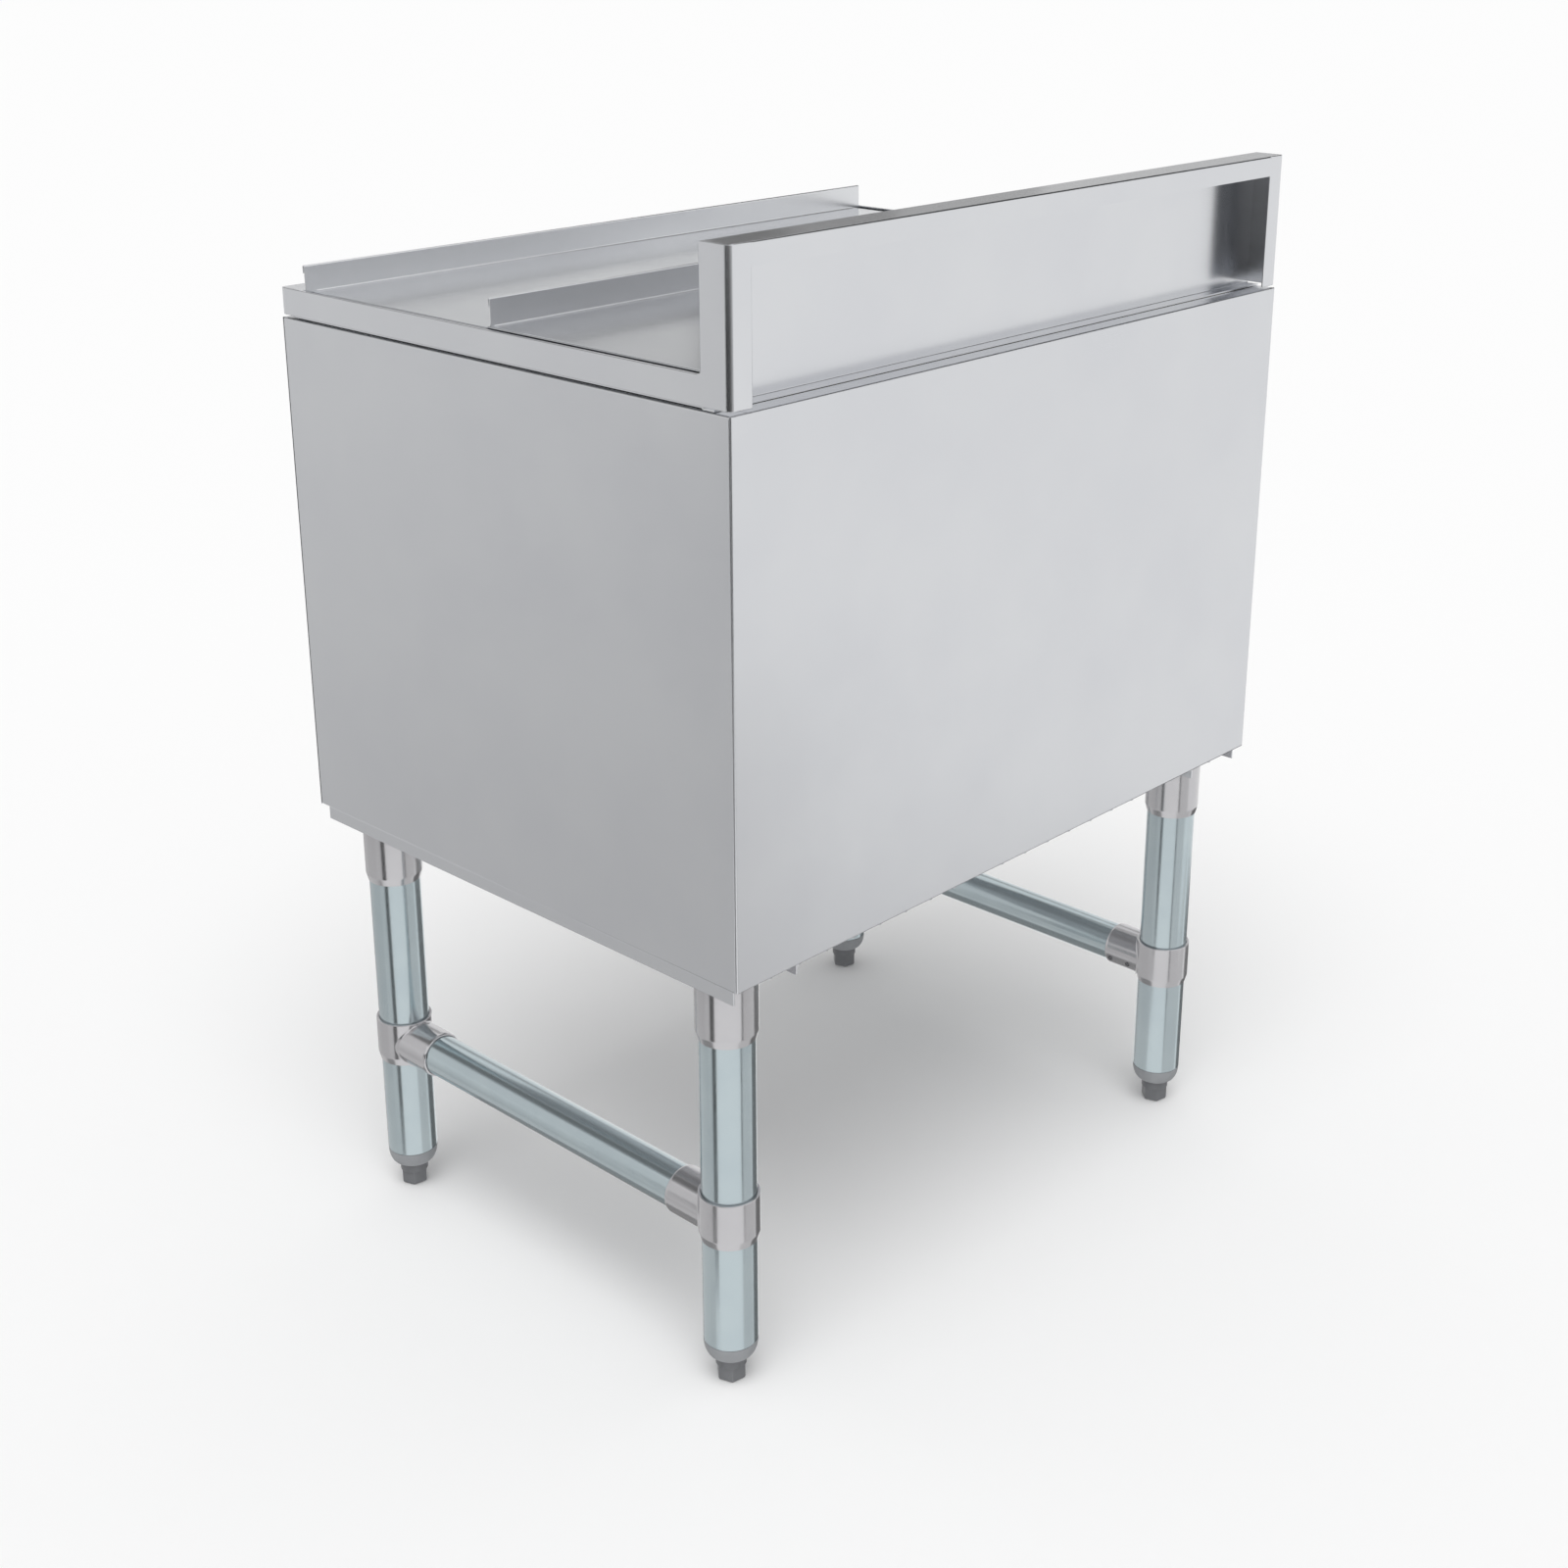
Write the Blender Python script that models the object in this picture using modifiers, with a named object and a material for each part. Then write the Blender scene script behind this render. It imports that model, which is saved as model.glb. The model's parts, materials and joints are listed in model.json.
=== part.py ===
"""Underbar ice bin with a cold plate, sliding lids, an open-backed backsplash and a stand of tube legs.

Metres, +Z up. The origin is on the floor under the middle of the cabinet. The user stands at -Y and the
backsplash is at +Y.
"""

import math

import bmesh
import bpy
from mathutils import Matrix, Vector

# Overall sizes
bin_width = 0.6096
bin_depth = 0.4699
floor_clearance = 0.3434
body_height = 0.3915
seam_height = 0.0022
skirt_height = 0.0200
backsplash_rise = 0.0811

# Sheet metal
frame_sheet = 0.0012
panel_sheet = 0.0012
liner_sheet = 0.0010
lid_sheet = 0.0010
channel_sheet = 0.0015
fold_radius = 0.0005
fit_gap = 0.0003
overrun = 0.0100

# Top frame
frame_corner_bend = 0.0030
deck_depth = 0.0247
backsplash_depth = 0.0262
backsplash_fillet = 0.0030
return_side_width = 0.0190
return_top_height = 0.0150
wall_foot_depth = 0.0095
tray_depth = 0.0070
opening_side_inset = 0.0320
opening_front_inset = 0.0580
opening_rear_inset = 0.0480
lip_drop = 0.0100
riser_inset = 0.0032
riser_corner_room = 0.0120

# Body panels
flange_width = 0.0150
corner_flange_width = 0.0120
weld_pitch = 0.0278
weld_first_inset = 0.0330
weld_edge_inset = 0.0026
weld_radius = 0.0020
weld_height = 0.0011

# Ice liner, insulation and cold plate
liner_mouth_gap = 0.0010
liner_cove = 0.0190
liner_flange = 0.0140
floor_insulation = 0.0460
plate_thickness = 0.0400
plate_margin = 0.0040
plate_edge_radius = 0.0040
groove_width = 0.0060
groove_depth = 0.0025

# Circuit tubes cast into the cold plate
circuit_count = 7
tube_pitch = 0.0340
circuit_tube_diameter = 0.0095
circuit_level = 0.0200
circuit_bend = 0.0140
circuit_rear_inset = 0.0220
circuit_front_margin = 0.0100
stub_reach = 0.0360
barb_count = 2
barb_length = 0.0060
barb_rise = 0.0007

# Drain
drain_flange_radius = 0.0280
drain_flange_thickness = 0.0025
drain_tail_radius = 0.0167
drain_bore_radius = 0.0135
drain_tail_reach = 0.0550
drain_cove_gap = 0.0020
drain_plate_gap = 0.0060
gasket_radius = 0.0260
gasket_thickness = 0.0030
locknut_across_corners = 0.0540
locknut_height = 0.0080
locknut_chamfer = 0.0012
drain_pocket_gap = 0.0050
strainer_radius = 0.0215
strainer_thickness = 0.0012
strainer_hole_radius = 0.0020
strainer_ring_radius = 0.0085
strainer_ring_holes = 6

# Lids
lid_side_inset = 0.0076
lid_nest_gap = 0.0004
rear_lid_rise = 0.0003
lid_handle_height = 0.0195
lid_hem_height = 0.0060
lid_hem_gap = 0.0006
lid_fold_radius = 0.0002
lid_front_lip = 0.0026
lid_corner_radius = 0.0015
lid_front_gap = 0.0007
lid_wall_gap = 0.0008
lid_overlap = 0.0120
front_handle_side_inset = 0.0030
rear_handle_side_inset = 0.0080
rear_handle_inset = 0.2350

# Leg stand
leg_side_inset = 0.0343
leg_end_inset = 0.04525
leg_tube_diameter = 0.0406
leg_tube_wall = 0.0015
sleeve_wall = 0.0020
sleeve_lip_height = 0.0062
sleeve_lip_width = 0.0016
channel_side_gap = 0.0031
channel_end_inset = 0.0070
channel_height = 0.0119
socket_length = 0.0588
tee_level = 0.1374
tee_rise = 0.0204
tee_drop = 0.0171
brace_diameter = 0.0332
brace_wall = 0.0015
brace_sleeve_wall = 0.0017
brace_sleeve_reach = 0.0490
brace_sleeve_lip = 0.0030
brace_sleeve_lip_width = 0.0012
brace_leg_gap = 0.0006
arm_root = 0.0040
arm_bore_root = 0.0025
set_screw_radius = 0.0025
set_screw_length = 0.0022
set_screw_leg_gap = 0.0019
set_screw_end_gap = 0.0060
set_screw_drop = math.radians(22)
set_screw_socket_depth = 0.0012
set_screw_socket_radius = 0.0013

# End cups and adjustable feet
foot_height = 0.0204
foot_collar_height = 0.0080
foot_collar_radius = 0.0115
foot_across_corners = 0.0225
foot_chamfer = 0.0020
foot_turn = math.radians(20)
foot_stem_radius = 0.0060
foot_stem_length = 0.0420
cup_height = 0.0140
cup_mouth_radius = 0.0135
cup_plug_length = 0.0240

# Facets and shape shares
tube_facets = 20
foot_facets = 12
screw_facets = 8
weld_facets = 6
bend_facets = 2
cove_facets = 4
hairpin_facets = 6
circuit_half_facets = 1
hexagon = 6
full_turn = math.tau
smooth_angle = math.radians(35)
weld_top_share = 0.6
barb_peak_share = 0.8
corner_weld_share = 0.8
half_share = 0.5
merge_distance = 0.00001

# Levels and half sizes that follow
half_width = bin_width / 2
half_depth = bin_depth / 2
body_bottom = floor_clearance
body_top = body_bottom + body_height
skirt_bottom = body_top + seam_height
rim_level = skirt_bottom + skirt_height
top_level = rim_level + backsplash_rise
bed_level = rim_level - tray_depth
backsplash_front = half_depth - backsplash_depth
tray_front = deck_depth - half_depth
frame_fold = frame_sheet + fold_radius
panel_fold = panel_sheet + fold_radius
deck_inset = min(frame_corner_bend * (1 - math.sqrt(half_share)), frame_sheet * corner_weld_share)
opening_half_width = half_width - opening_side_inset
opening_front = opening_front_inset - half_depth
opening_rear = half_depth - opening_rear_inset
liner_mouth = frame_sheet + liner_mouth_gap
opening_corner_radius = liner_cove - liner_mouth
liner_half_width = opening_half_width + liner_mouth
liner_front = opening_front - liner_mouth
liner_rear = opening_rear + liner_mouth
liner_top = bed_level - frame_sheet - fit_gap
panel_end = half_depth - panel_sheet - fit_gap
panel_side = half_width - panel_sheet - fit_gap
pan_bottom = body_bottom + panel_sheet + fit_gap
pan_top = pan_bottom + panel_sheet
liner_floor = pan_top + floor_insulation
drain_y = liner_front + liner_cove + drain_cove_gap + drain_flange_radius
plate_bottom = liner_floor + fit_gap
plate_top = plate_bottom + plate_thickness
plate_half_width = liner_half_width - liner_cove - plate_margin
plate_front = drain_y + drain_flange_radius + drain_plate_gap
plate_rear = liner_rear - liner_cove - plate_margin
leg_radius = leg_tube_diameter / 2
sleeve_bore = leg_radius + fit_gap
sleeve_radius = sleeve_bore + sleeve_wall
brace_radius = brace_diameter / 2
brace_sleeve_bore = brace_radius + fit_gap
brace_sleeve_radius = brace_sleeve_bore + brace_sleeve_wall
leg_x = half_width - leg_side_inset
leg_y = half_depth - leg_end_inset
channel_top = body_bottom - fit_gap
socket_top = channel_top - channel_sheet - fit_gap
socket_bottom = socket_top - socket_length
cup_bottom = foot_height + fit_gap
leg_bottom = cup_bottom + cup_height
leg_top = socket_top - sleeve_wall - fit_gap
rear_lid_top = rim_level + rear_lid_rise
front_lid_top = rear_lid_top - lid_sheet - lid_nest_gap
lid_bottom = bed_level + fit_gap
handle_depth = lid_sheet * 2 + lid_hem_gap
front_handle_back = tray_front + lid_front_gap + lid_front_lip + lid_sheet
rear_handle_back = half_depth - rear_handle_inset

sides = (("left", -1), ("right", 1))
ends = (("front", -1), ("rear", 1))
across, along, up = range(3)

finishes = {
    "panel_steel": ((0.62, 0.63, 0.65), 0.32, 1),
    "frame_steel": ((0.66, 0.67, 0.69), 0.28, 1),
    "lid_steel": ((0.58, 0.60, 0.62), 0.30, 1),
    "liner_steel": ((0.70, 0.71, 0.72), 0.25, 1),
    "circuit_steel": ((0.72, 0.73, 0.74), 0.22, 1),
    "cast_aluminium": ((0.55, 0.56, 0.57), 0.50, 1),
    "foam": ((0.85, 0.78, 0.55), 0.90, 0),
    "gasket_rubber": ((0.03, 0.03, 0.03), 0.70, 0),
    "chromed_brass": ((0.75, 0.76, 0.77), 0.15, 1),
    "galvanised_tube": ((0.50, 0.57, 0.60), 0.30, 1),
    "cast_socket": ((0.52, 0.51, 0.53), 0.40, 1),
    "grey_plastic": ((0.30, 0.31, 0.33), 0.55, 0),
    "dark_foot": ((0.12, 0.125, 0.135), 0.50, 0),
    "screw_steel": ((0.20, 0.20, 0.21), 0.35, 1),
}

for old in list(bpy.data.objects):
    bpy.data.objects.remove(old, do_unlink=True)
parts = bpy.data.collections.new("ice_bin_with_cold_plate")
cutters = bpy.data.collections.new("cutters")
for group in (parts, cutters):
    bpy.context.scene.collection.children.link(group)


def add_object(name, data, finish=None):
    """Puts a shape in the scene: a part with its finish, or a hidden helper without one."""
    thing = bpy.data.objects.new(name, data)
    if not finish:
        cutters.objects.link(thing)
        thing.hide_render = True
        thing.display_type = "WIRE"
        return thing
    parts.objects.link(thing)
    colour, roughness, metallic = finishes[finish]
    material = bpy.data.materials.new(name)
    material.use_nodes = True
    shader = material.node_tree.nodes["Principled BSDF"]
    shader.inputs["Base Color"].default_value = (*colour, 1)
    shader.inputs["Roughness"].default_value = roughness
    shader.inputs["Metallic"].default_value = metallic
    material.diffuse_color = (*colour, 1)
    data.materials.append(material)
    return thing


def change(target, other, operation):
    step = target.modifiers.new(other.name, "BOOLEAN")
    step.object = other
    step.operation = operation
    step.solver = "EXACT"


def cut(target, *others):
    for other in others:
        change(target, other, "DIFFERENCE")


def join(target, *others):
    for other in others:
        change(target, other, "UNION")


def mesh_of(name, shape, smooth=False):
    bmesh.ops.recalc_face_normals(shape, faces=shape.faces)
    mesh = bpy.data.meshes.new(name)
    shape.to_mesh(mesh)
    shape.free()
    if smooth:
        mesh.shade_smooth()
        mesh.set_sharp_from_angle(angle=smooth_angle)
    return mesh


def block(low, high):
    """A box between two corners."""
    shape = bmesh.new()
    bmesh.ops.create_cube(shape, size=1)
    bmesh.ops.scale(shape, vec=[b - a for a, b in zip(low, high)], verts=shape.verts)
    bmesh.ops.translate(shape, vec=[(a + b) / 2 for a, b in zip(low, high)], verts=shape.verts)
    return shape


def edges_along(shape, axis):
    return [e for e in shape.edges if abs((e.verts[1].co - e.verts[0].co).normalized()[axis]) > half_share]


def edges_at(shape, axis, place):
    """The edges that lie in one plane square to an axis."""
    return [e for e in shape.edges if all(abs(v.co[axis] - place) < merge_distance for v in e.verts)]


def round_edges(shape, edges, radius, facets):
    bmesh.ops.bevel(shape, geom=edges, offset=radius, segments=facets, affect="EDGES", profile=half_share)


def plain_block(name, low, high, finish=None):
    return add_object(name, mesh_of(name, block(low, high)), finish)


def upright_block(name, low, high, radius, finish=None):
    """A box with round upright edges."""
    shape = block(low, high)
    round_edges(shape, edges_along(shape, up), radius, cove_facets)
    return add_object(name, mesh_of(name, shape), finish)


def cylinder(name, radius, low, high, facets, place=(0, 0), finish=None):
    """An upright cylinder or prism between two levels."""
    shape = bmesh.new()
    bmesh.ops.create_cone(
        shape, cap_ends=True, segments=facets, radius1=radius, radius2=radius, depth=high - low
    )
    half_facet = Matrix.Rotation(full_turn / facets / 2, 3, "Z")
    bmesh.ops.rotate(shape, matrix=half_facet, verts=shape.verts)
    bmesh.ops.translate(shape, vec=(0, 0, (low + high) / 2), verts=shape.verts)
    thing = add_object(name, mesh_of(name, shape, smooth=facets > hexagon), finish)
    thing.location = (*place, 0)
    return thing


def folded_line(corners, thickness, outer_radius):
    """A folded sheet's line: the corners given, with each fold turned into an arc.

    The metal lies on the left, so a fold to the right has the smaller, inner radius.
    """
    points = [Vector(corners[0])]
    for before, corner, after in zip(corners, corners[1:], corners[2:]):
        fold = Vector(corner)
        back = (Vector(before) - fold).normalized()
        onward = (Vector(after) - fold).normalized()
        radius = outer_radius - thickness if back.cross(onward) > 0 else outer_radius
        half_angle = back.angle(onward) / 2
        centre = fold + (back + onward).normalized() * radius / math.sin(half_angle)
        start = fold + back * radius / math.tan(half_angle) - centre
        end = fold + onward * radius / math.tan(half_angle) - centre
        points += [centre + radius * start.slerp(end, i / bend_facets) for i in range(bend_facets + 1)]
    return points + [Vector(corners[-1])]


def folded_sheet(name, axis, corners, span, thickness, radius, finish=None):
    """A sheet folded along a line and drawn out along an axis, its metal on the left of the line."""
    points = folded_line(corners, thickness, radius)
    shape = bmesh.new()
    rows = []
    for place in span:
        row = []
        for point in points:
            spot = list(point)
            spot.insert(axis, place)
            row.append(shape.verts.new(spot))
        rows.append(row)
    for i in range(len(points) - 1):
        shape.faces.new((rows[0][i], rows[0][i + 1], rows[1][i + 1], rows[1][i]))
    mesh = bpy.data.meshes.new(name)
    shape.to_mesh(mesh)
    shape.free()
    thing = add_object(name, mesh, finish)
    thicken(thing, thickness, 1 if axis == along else -1)
    return thing


def thicken(thing, thickness, offset):
    wall = thing.modifiers.new("wall", "SOLIDIFY")
    wall.thickness = thickness
    wall.offset = offset
    wall.use_even_offset = True


def turned(name, profile, facets, finish=None, ring=False):
    """A round piece spun from its profile of radius and level, which is a loop when the piece is a ring."""
    shape = bmesh.new()
    points = [shape.verts.new((radius, 0, level)) for radius, level in profile]
    lines = [shape.edges.new(pair) for pair in zip(points, points[1:])]
    if ring:
        lines.append(shape.edges.new((points[-1], points[0])))
    bmesh.ops.spin(
        shape, geom=points + lines, axis=(0, 0, 1), cent=(0, 0, 0), steps=facets, angle=full_turn, use_merge=True
    )
    bmesh.ops.remove_doubles(shape, verts=shape.verts, dist=merge_distance)
    return add_object(name, mesh_of(name, shape, smooth=True), finish)


def tube_profile(outer, inner, low, high):
    return [(outer, high), (outer, low), (inner, low), (inner, high)]


def build_top_frame():
    """The frame: skirt, deck, lid tray and hollow backsplash, folded from sheet and welded into one piece."""
    frame = folded_sheet(
        "top_frame", up,
        [
            (return_side_width - half_width, half_depth),
            (-half_width, half_depth),
            (-half_width, -half_depth),
            (half_width, -half_depth),
            (half_width, half_depth),
            (half_width - return_side_width, half_depth),
        ],
        (skirt_bottom, top_level), frame_sheet, frame_corner_bend, "frame_steel",
    )
    step = block(
        (-half_width - overrun, -half_depth - overrun, rim_level),
        (half_width + overrun, backsplash_front, top_level + overrun),
    )
    inside_corner = set(edges_at(step, along, backsplash_front)) & set(edges_at(step, up, rim_level))
    round_edges(step, list(inside_corner), backsplash_fillet, cove_facets)
    cut(frame, add_object("frame_step", mesh_of("frame_step", step)))
    frame_span = (deck_inset - half_width, half_width - deck_inset)
    wall = folded_sheet(
        "backsplash_wall", across,
        [
            (half_depth, top_level - return_top_height),
            (half_depth, top_level),
            (backsplash_front, top_level),
            (backsplash_front, body_top + fit_gap),
            (backsplash_front + wall_foot_depth, body_top + fit_gap),
        ],
        frame_span, frame_sheet, frame_fold,
    )
    tray = folded_sheet(
        "deck_and_tray", across,
        [
            (backsplash_front + frame_sheet / 2, bed_level),
            (tray_front, bed_level),
            (tray_front, rim_level),
            (deck_inset - half_depth, rim_level),
        ],
        frame_span, frame_sheet, frame_fold,
    )
    join(frame, wall, tray)
    for side, sign in sides:
        upstand = sorted((sign * (half_width - frame_sheet * 2), sign * (half_width - frame_sheet / 2)))
        join(frame, plain_block(
            "tray_upstand_" + side,
            (upstand[0], tray_front - frame_sheet / 2, bed_level - frame_sheet / 2),
            (upstand[1], backsplash_front + frame_sheet / 2, rim_level),
        ))
        riser = sorted((sign * (half_width - riser_inset - frame_sheet), sign * (half_width - riser_inset)))
        join(frame, plain_block(
            "riser_" + side,
            (riser[0], riser_corner_room - half_depth, body_top + fit_gap),
            (riser[1], backsplash_front + frame_sheet / 2, bed_level - frame_sheet / 2),
        ))
    join(frame, plain_block(
        "riser_front",
        (riser_corner_room - half_width, riser_inset - half_depth, body_top + fit_gap),
        (half_width - riser_corner_room, riser_inset + frame_sheet - half_depth, rim_level - frame_sheet / 2),
    ))
    join(frame, upright_block(
        "opening_lip",
        (-opening_half_width - frame_sheet, opening_front - frame_sheet, bed_level - lip_drop),
        (opening_half_width + frame_sheet, opening_rear + frame_sheet, bed_level - frame_sheet / 2),
        opening_corner_radius + frame_sheet,
    ))
    cut(frame, upright_block(
        "frame_opening",
        (-opening_half_width, opening_front, bed_level - lip_drop - overrun),
        (opening_half_width, opening_rear, bed_level + overrun),
        opening_corner_radius,
    ))


def build_end_panel(name, sign):
    """The front or rear panel, with its top and bottom flanges turned in between the side panels' flanges."""
    corners = [
        (sign * (half_depth - flange_width), body_bottom),
        (sign * half_depth, body_bottom),
        (sign * half_depth, body_top),
        (sign * (half_depth - flange_width), body_top),
    ]
    if sign < 0:
        corners.reverse()
    panel = folded_sheet(
        name, across, corners, (-half_width, half_width), panel_sheet, panel_fold, "panel_steel"
    )
    notch_y = sorted((sign * (half_depth - flange_width - overrun), sign * (half_depth - panel_sheet)))
    for side, way in sides:
        notch_x = sorted((way * (half_width - flange_width - fit_gap), way * (half_width + overrun)))
        cut(panel, plain_block(
            name + "_notch_" + side,
            (notch_x[0], notch_y[0], body_bottom - overrun),
            (notch_x[1], notch_y[1], body_top + overrun),
        ))
    return panel


def build_weld_heads():
    """The row of plug-weld heads under the rear panel's bottom flange."""
    heads = bmesh.new()
    low, high = body_bottom - weld_height, body_bottom + panel_sheet / 2
    count = int((bin_width - weld_first_inset * 2) / weld_pitch) + 1
    for i in range(count):
        made = bmesh.ops.create_cone(
            heads, cap_ends=True, segments=weld_facets,
            radius1=weld_radius * weld_top_share, radius2=weld_radius, depth=high - low,
        )
        place = (half_width - weld_first_inset - i * weld_pitch, half_depth - weld_edge_inset, (low + high) / 2)
        bmesh.ops.translate(heads, vec=place, verts=made["verts"])
    return add_object("weld_heads", mesh_of("weld_heads", heads))


def build_side_panel(side, sign):
    corners = [
        (sign * (half_width - flange_width), body_bottom),
        (sign * half_width, body_bottom),
        (sign * half_width, body_top),
        (sign * (half_width - flange_width), body_top),
    ]
    if sign < 0:
        corners.reverse()
    panel = folded_sheet(
        "side_panel_" + side, along, corners, (-panel_end, panel_end), panel_sheet, panel_fold, "panel_steel"
    )
    span = sorted((sign * (half_width - corner_flange_width), sign * (half_width - panel_sheet / 2)))
    for end, way in ends:
        reach = sorted((way * panel_end, way * (panel_end - panel_sheet)))
        join(panel, plain_block(
            "corner_flange_" + side + "_" + end,
            (span[0], reach[0], pan_top + fit_gap),
            (span[1], reach[1], body_top - panel_sheet / 2),
        ))


def coved_pan(low, high, radius):
    """A box without its top, its upright and bottom edges coved."""
    shape = block(low, high)
    top = [f for f in shape.faces if f.normal.z > half_share]
    bmesh.ops.delete(shape, geom=top, context="FACES")
    round_edges(shape, edges_along(shape, up) + edges_at(shape, up, low.z), radius, cove_facets)
    return shape


def build_liner(bores, drain_hole):
    low = Vector((-liner_half_width, liner_front, liner_floor))
    high = Vector((liner_half_width, liner_rear, liner_top))
    shape = coved_pan(low, high, liner_cove)
    rim = edges_at(shape, up, liner_top)
    flange = bmesh.ops.extrude_edge_only(shape, edges=rim)["geom"]
    for vert in (v for v in flange if isinstance(v, bmesh.types.BMVert)):
        corner = Vector((
            math.copysign(liner_half_width - liner_cove, vert.co.x),
            high.y - liner_cove if vert.co.y > (low.y + high.y) / 2 else low.y + liner_cove,
        ))
        vert.co.xy += (vert.co.xy - corner).normalized() * liner_flange
    bmesh.ops.recalc_face_normals(shape, faces=shape.faces)
    shape.faces.ensure_lookup_table()
    floor = min(shape.faces, key=lambda f: f.calc_center_median().z)
    if floor.normal.z > 0:
        bmesh.ops.reverse_faces(shape, faces=shape.faces)
    mesh = bpy.data.meshes.new("ice_liner")
    shape.to_mesh(mesh)
    shape.free()
    mesh.shade_smooth()
    mesh.set_sharp_from_angle(angle=smooth_angle)
    liner = add_object("ice_liner", mesh, "liner_steel")
    thicken(liner, liner_sheet, 1)
    cut(liner, bores, drain_hole)


def build_insulation(bores):
    """The foam that fills the body between its panels and the liner, with a collar up to the liner's flange."""
    collar_top = liner_top - liner_sheet - fit_gap
    foam_top = body_top - panel_sheet - fit_gap
    foam_end = panel_end - panel_sheet - fit_gap
    foam = plain_block(
        "insulation", (-panel_side, -foam_end, pan_top + fit_gap), (panel_side, foam_end, foam_top), "foam"
    )
    collar_side = half_width - flange_width - fit_gap
    join(foam, plain_block(
        "foam_collar",
        (-collar_side, flange_width + fit_gap - half_depth, foam_top - panel_sheet),
        (collar_side, backsplash_front - fit_gap, collar_top),
    ))
    grow = liner_sheet + fit_gap
    well = block(
        (-liner_half_width - grow, liner_front - grow, liner_floor - grow),
        (liner_half_width + grow, liner_rear + grow, collar_top + overrun),
    )
    round_edges(
        well, edges_along(well, up) + edges_at(well, up, liner_floor - grow), liner_cove + grow, cove_facets
    )
    cut(foam, add_object("foam_well", mesh_of("foam_well", well)), bores)
    cut(foam, cylinder(
        "drain_pocket", locknut_across_corners / 2 + drain_pocket_gap,
        body_bottom, liner_floor, tube_facets, (0, drain_y),
    ))


def circuit_points(x):
    """One circuit from its first barbed end, up into the plate, round a hairpin and down to the other end."""
    run_level = plate_bottom + circuit_level
    rear = plate_rear - circuit_rear_inset
    turn = tube_pitch / 2
    front = plate_front + circuit_front_margin + turn + circuit_tube_diameter / 2
    end = body_bottom - stub_reach
    barb_radius = 1 + barb_rise / (circuit_tube_diameter / 2)
    climb = []
    for i in range(barb_count):
        foot = end + i * barb_length
        climb += [((rear, foot), 1), ((rear, foot + barb_length * barb_peak_share), barb_radius)]
    climb.append(((rear, end + barb_count * barb_length), 1))
    for i in range(bend_facets + 1):
        angle = math.pi / 2 * i / bend_facets
        bend_y = rear - circuit_bend * (1 - math.cos(angle))
        climb.append(((bend_y, run_level - circuit_bend * (1 - math.sin(angle))), 1))
    down_side = [(x, *place, radius) for place, radius in climb]
    up_side = [(x + tube_pitch, *place, radius) for place, radius in reversed(climb)]
    hairpin = []
    for i in range(hairpin_facets + 1):
        angle = math.pi * i / hairpin_facets
        hairpin.append((x + turn - turn * math.cos(angle), front - turn * math.sin(angle), run_level, 1))
    return down_side + hairpin + up_side


def circuit_curve(name, x, radius):
    curve = bpy.data.curves.new(name, "CURVE")
    curve.dimensions = "3D"
    curve.bevel_depth = radius
    curve.bevel_resolution = circuit_half_facets
    curve.use_fill_caps = True
    places = circuit_points(x)
    line = curve.splines.new("POLY")
    line.points.add(len(places) - 1)
    for point, (*place, share) in zip(line.points, places):
        point.co = (*place, 1)
        point.radius = share
    return curve


def build_circuits():
    """The tubes, and one cutter that bores their way through the plate, liner, foam and pan."""
    bores = bmesh.new()
    first = -tube_pitch * (circuit_count * 2 - 1) / 2
    for i in range(circuit_count):
        x = first + i * tube_pitch * 2
        name = "circuit_tube_" + str(i + 1)
        add_object(name, circuit_curve(name, x, circuit_tube_diameter / 2), "circuit_steel")
        guide = add_object("bore_guide", circuit_curve("bore_guide", x, circuit_tube_diameter / 2 + fit_gap))
        bpy.context.view_layer.update()
        graph = bpy.context.evaluated_depsgraph_get()
        bore = bpy.data.meshes.new_from_object(guide.evaluated_get(graph))
        bores.from_mesh(bore)
        bpy.data.objects.remove(guide, do_unlink=True)
    bmesh.ops.remove_doubles(bores, verts=bores.verts, dist=merge_distance)
    return add_object("circuit_bores", mesh_of("circuit_bores", bores))


def build_cold_plate(bores):
    """The casting: round edges, drain grooves on its top between the tube runs, and a bore along each circuit."""
    shape = block((-plate_half_width, plate_front, plate_bottom), (plate_half_width, plate_rear, plate_top))
    round_edges(shape, list(shape.edges), plate_edge_radius, bend_facets)
    plate = add_object("cold_plate", mesh_of("cold_plate", shape, smooth=True), "cast_aluminium")
    grooves = bmesh.new()
    runs = circuit_count * 2
    for i in range(1, runs):
        x = (i - runs / 2) * tube_pitch
        groove = block(
            (x - groove_width / 2, plate_front - overrun, plate_top - groove_depth),
            (x + groove_width / 2, plate_rear + overrun, plate_top + overrun),
        )
        loose = bpy.data.meshes.new("groove")
        groove.to_mesh(loose)
        groove.free()
        grooves.from_mesh(loose)
        bpy.data.meshes.remove(loose)
    cut(plate, bores, add_object("plate_grooves", mesh_of("plate_grooves", grooves)))


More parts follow.
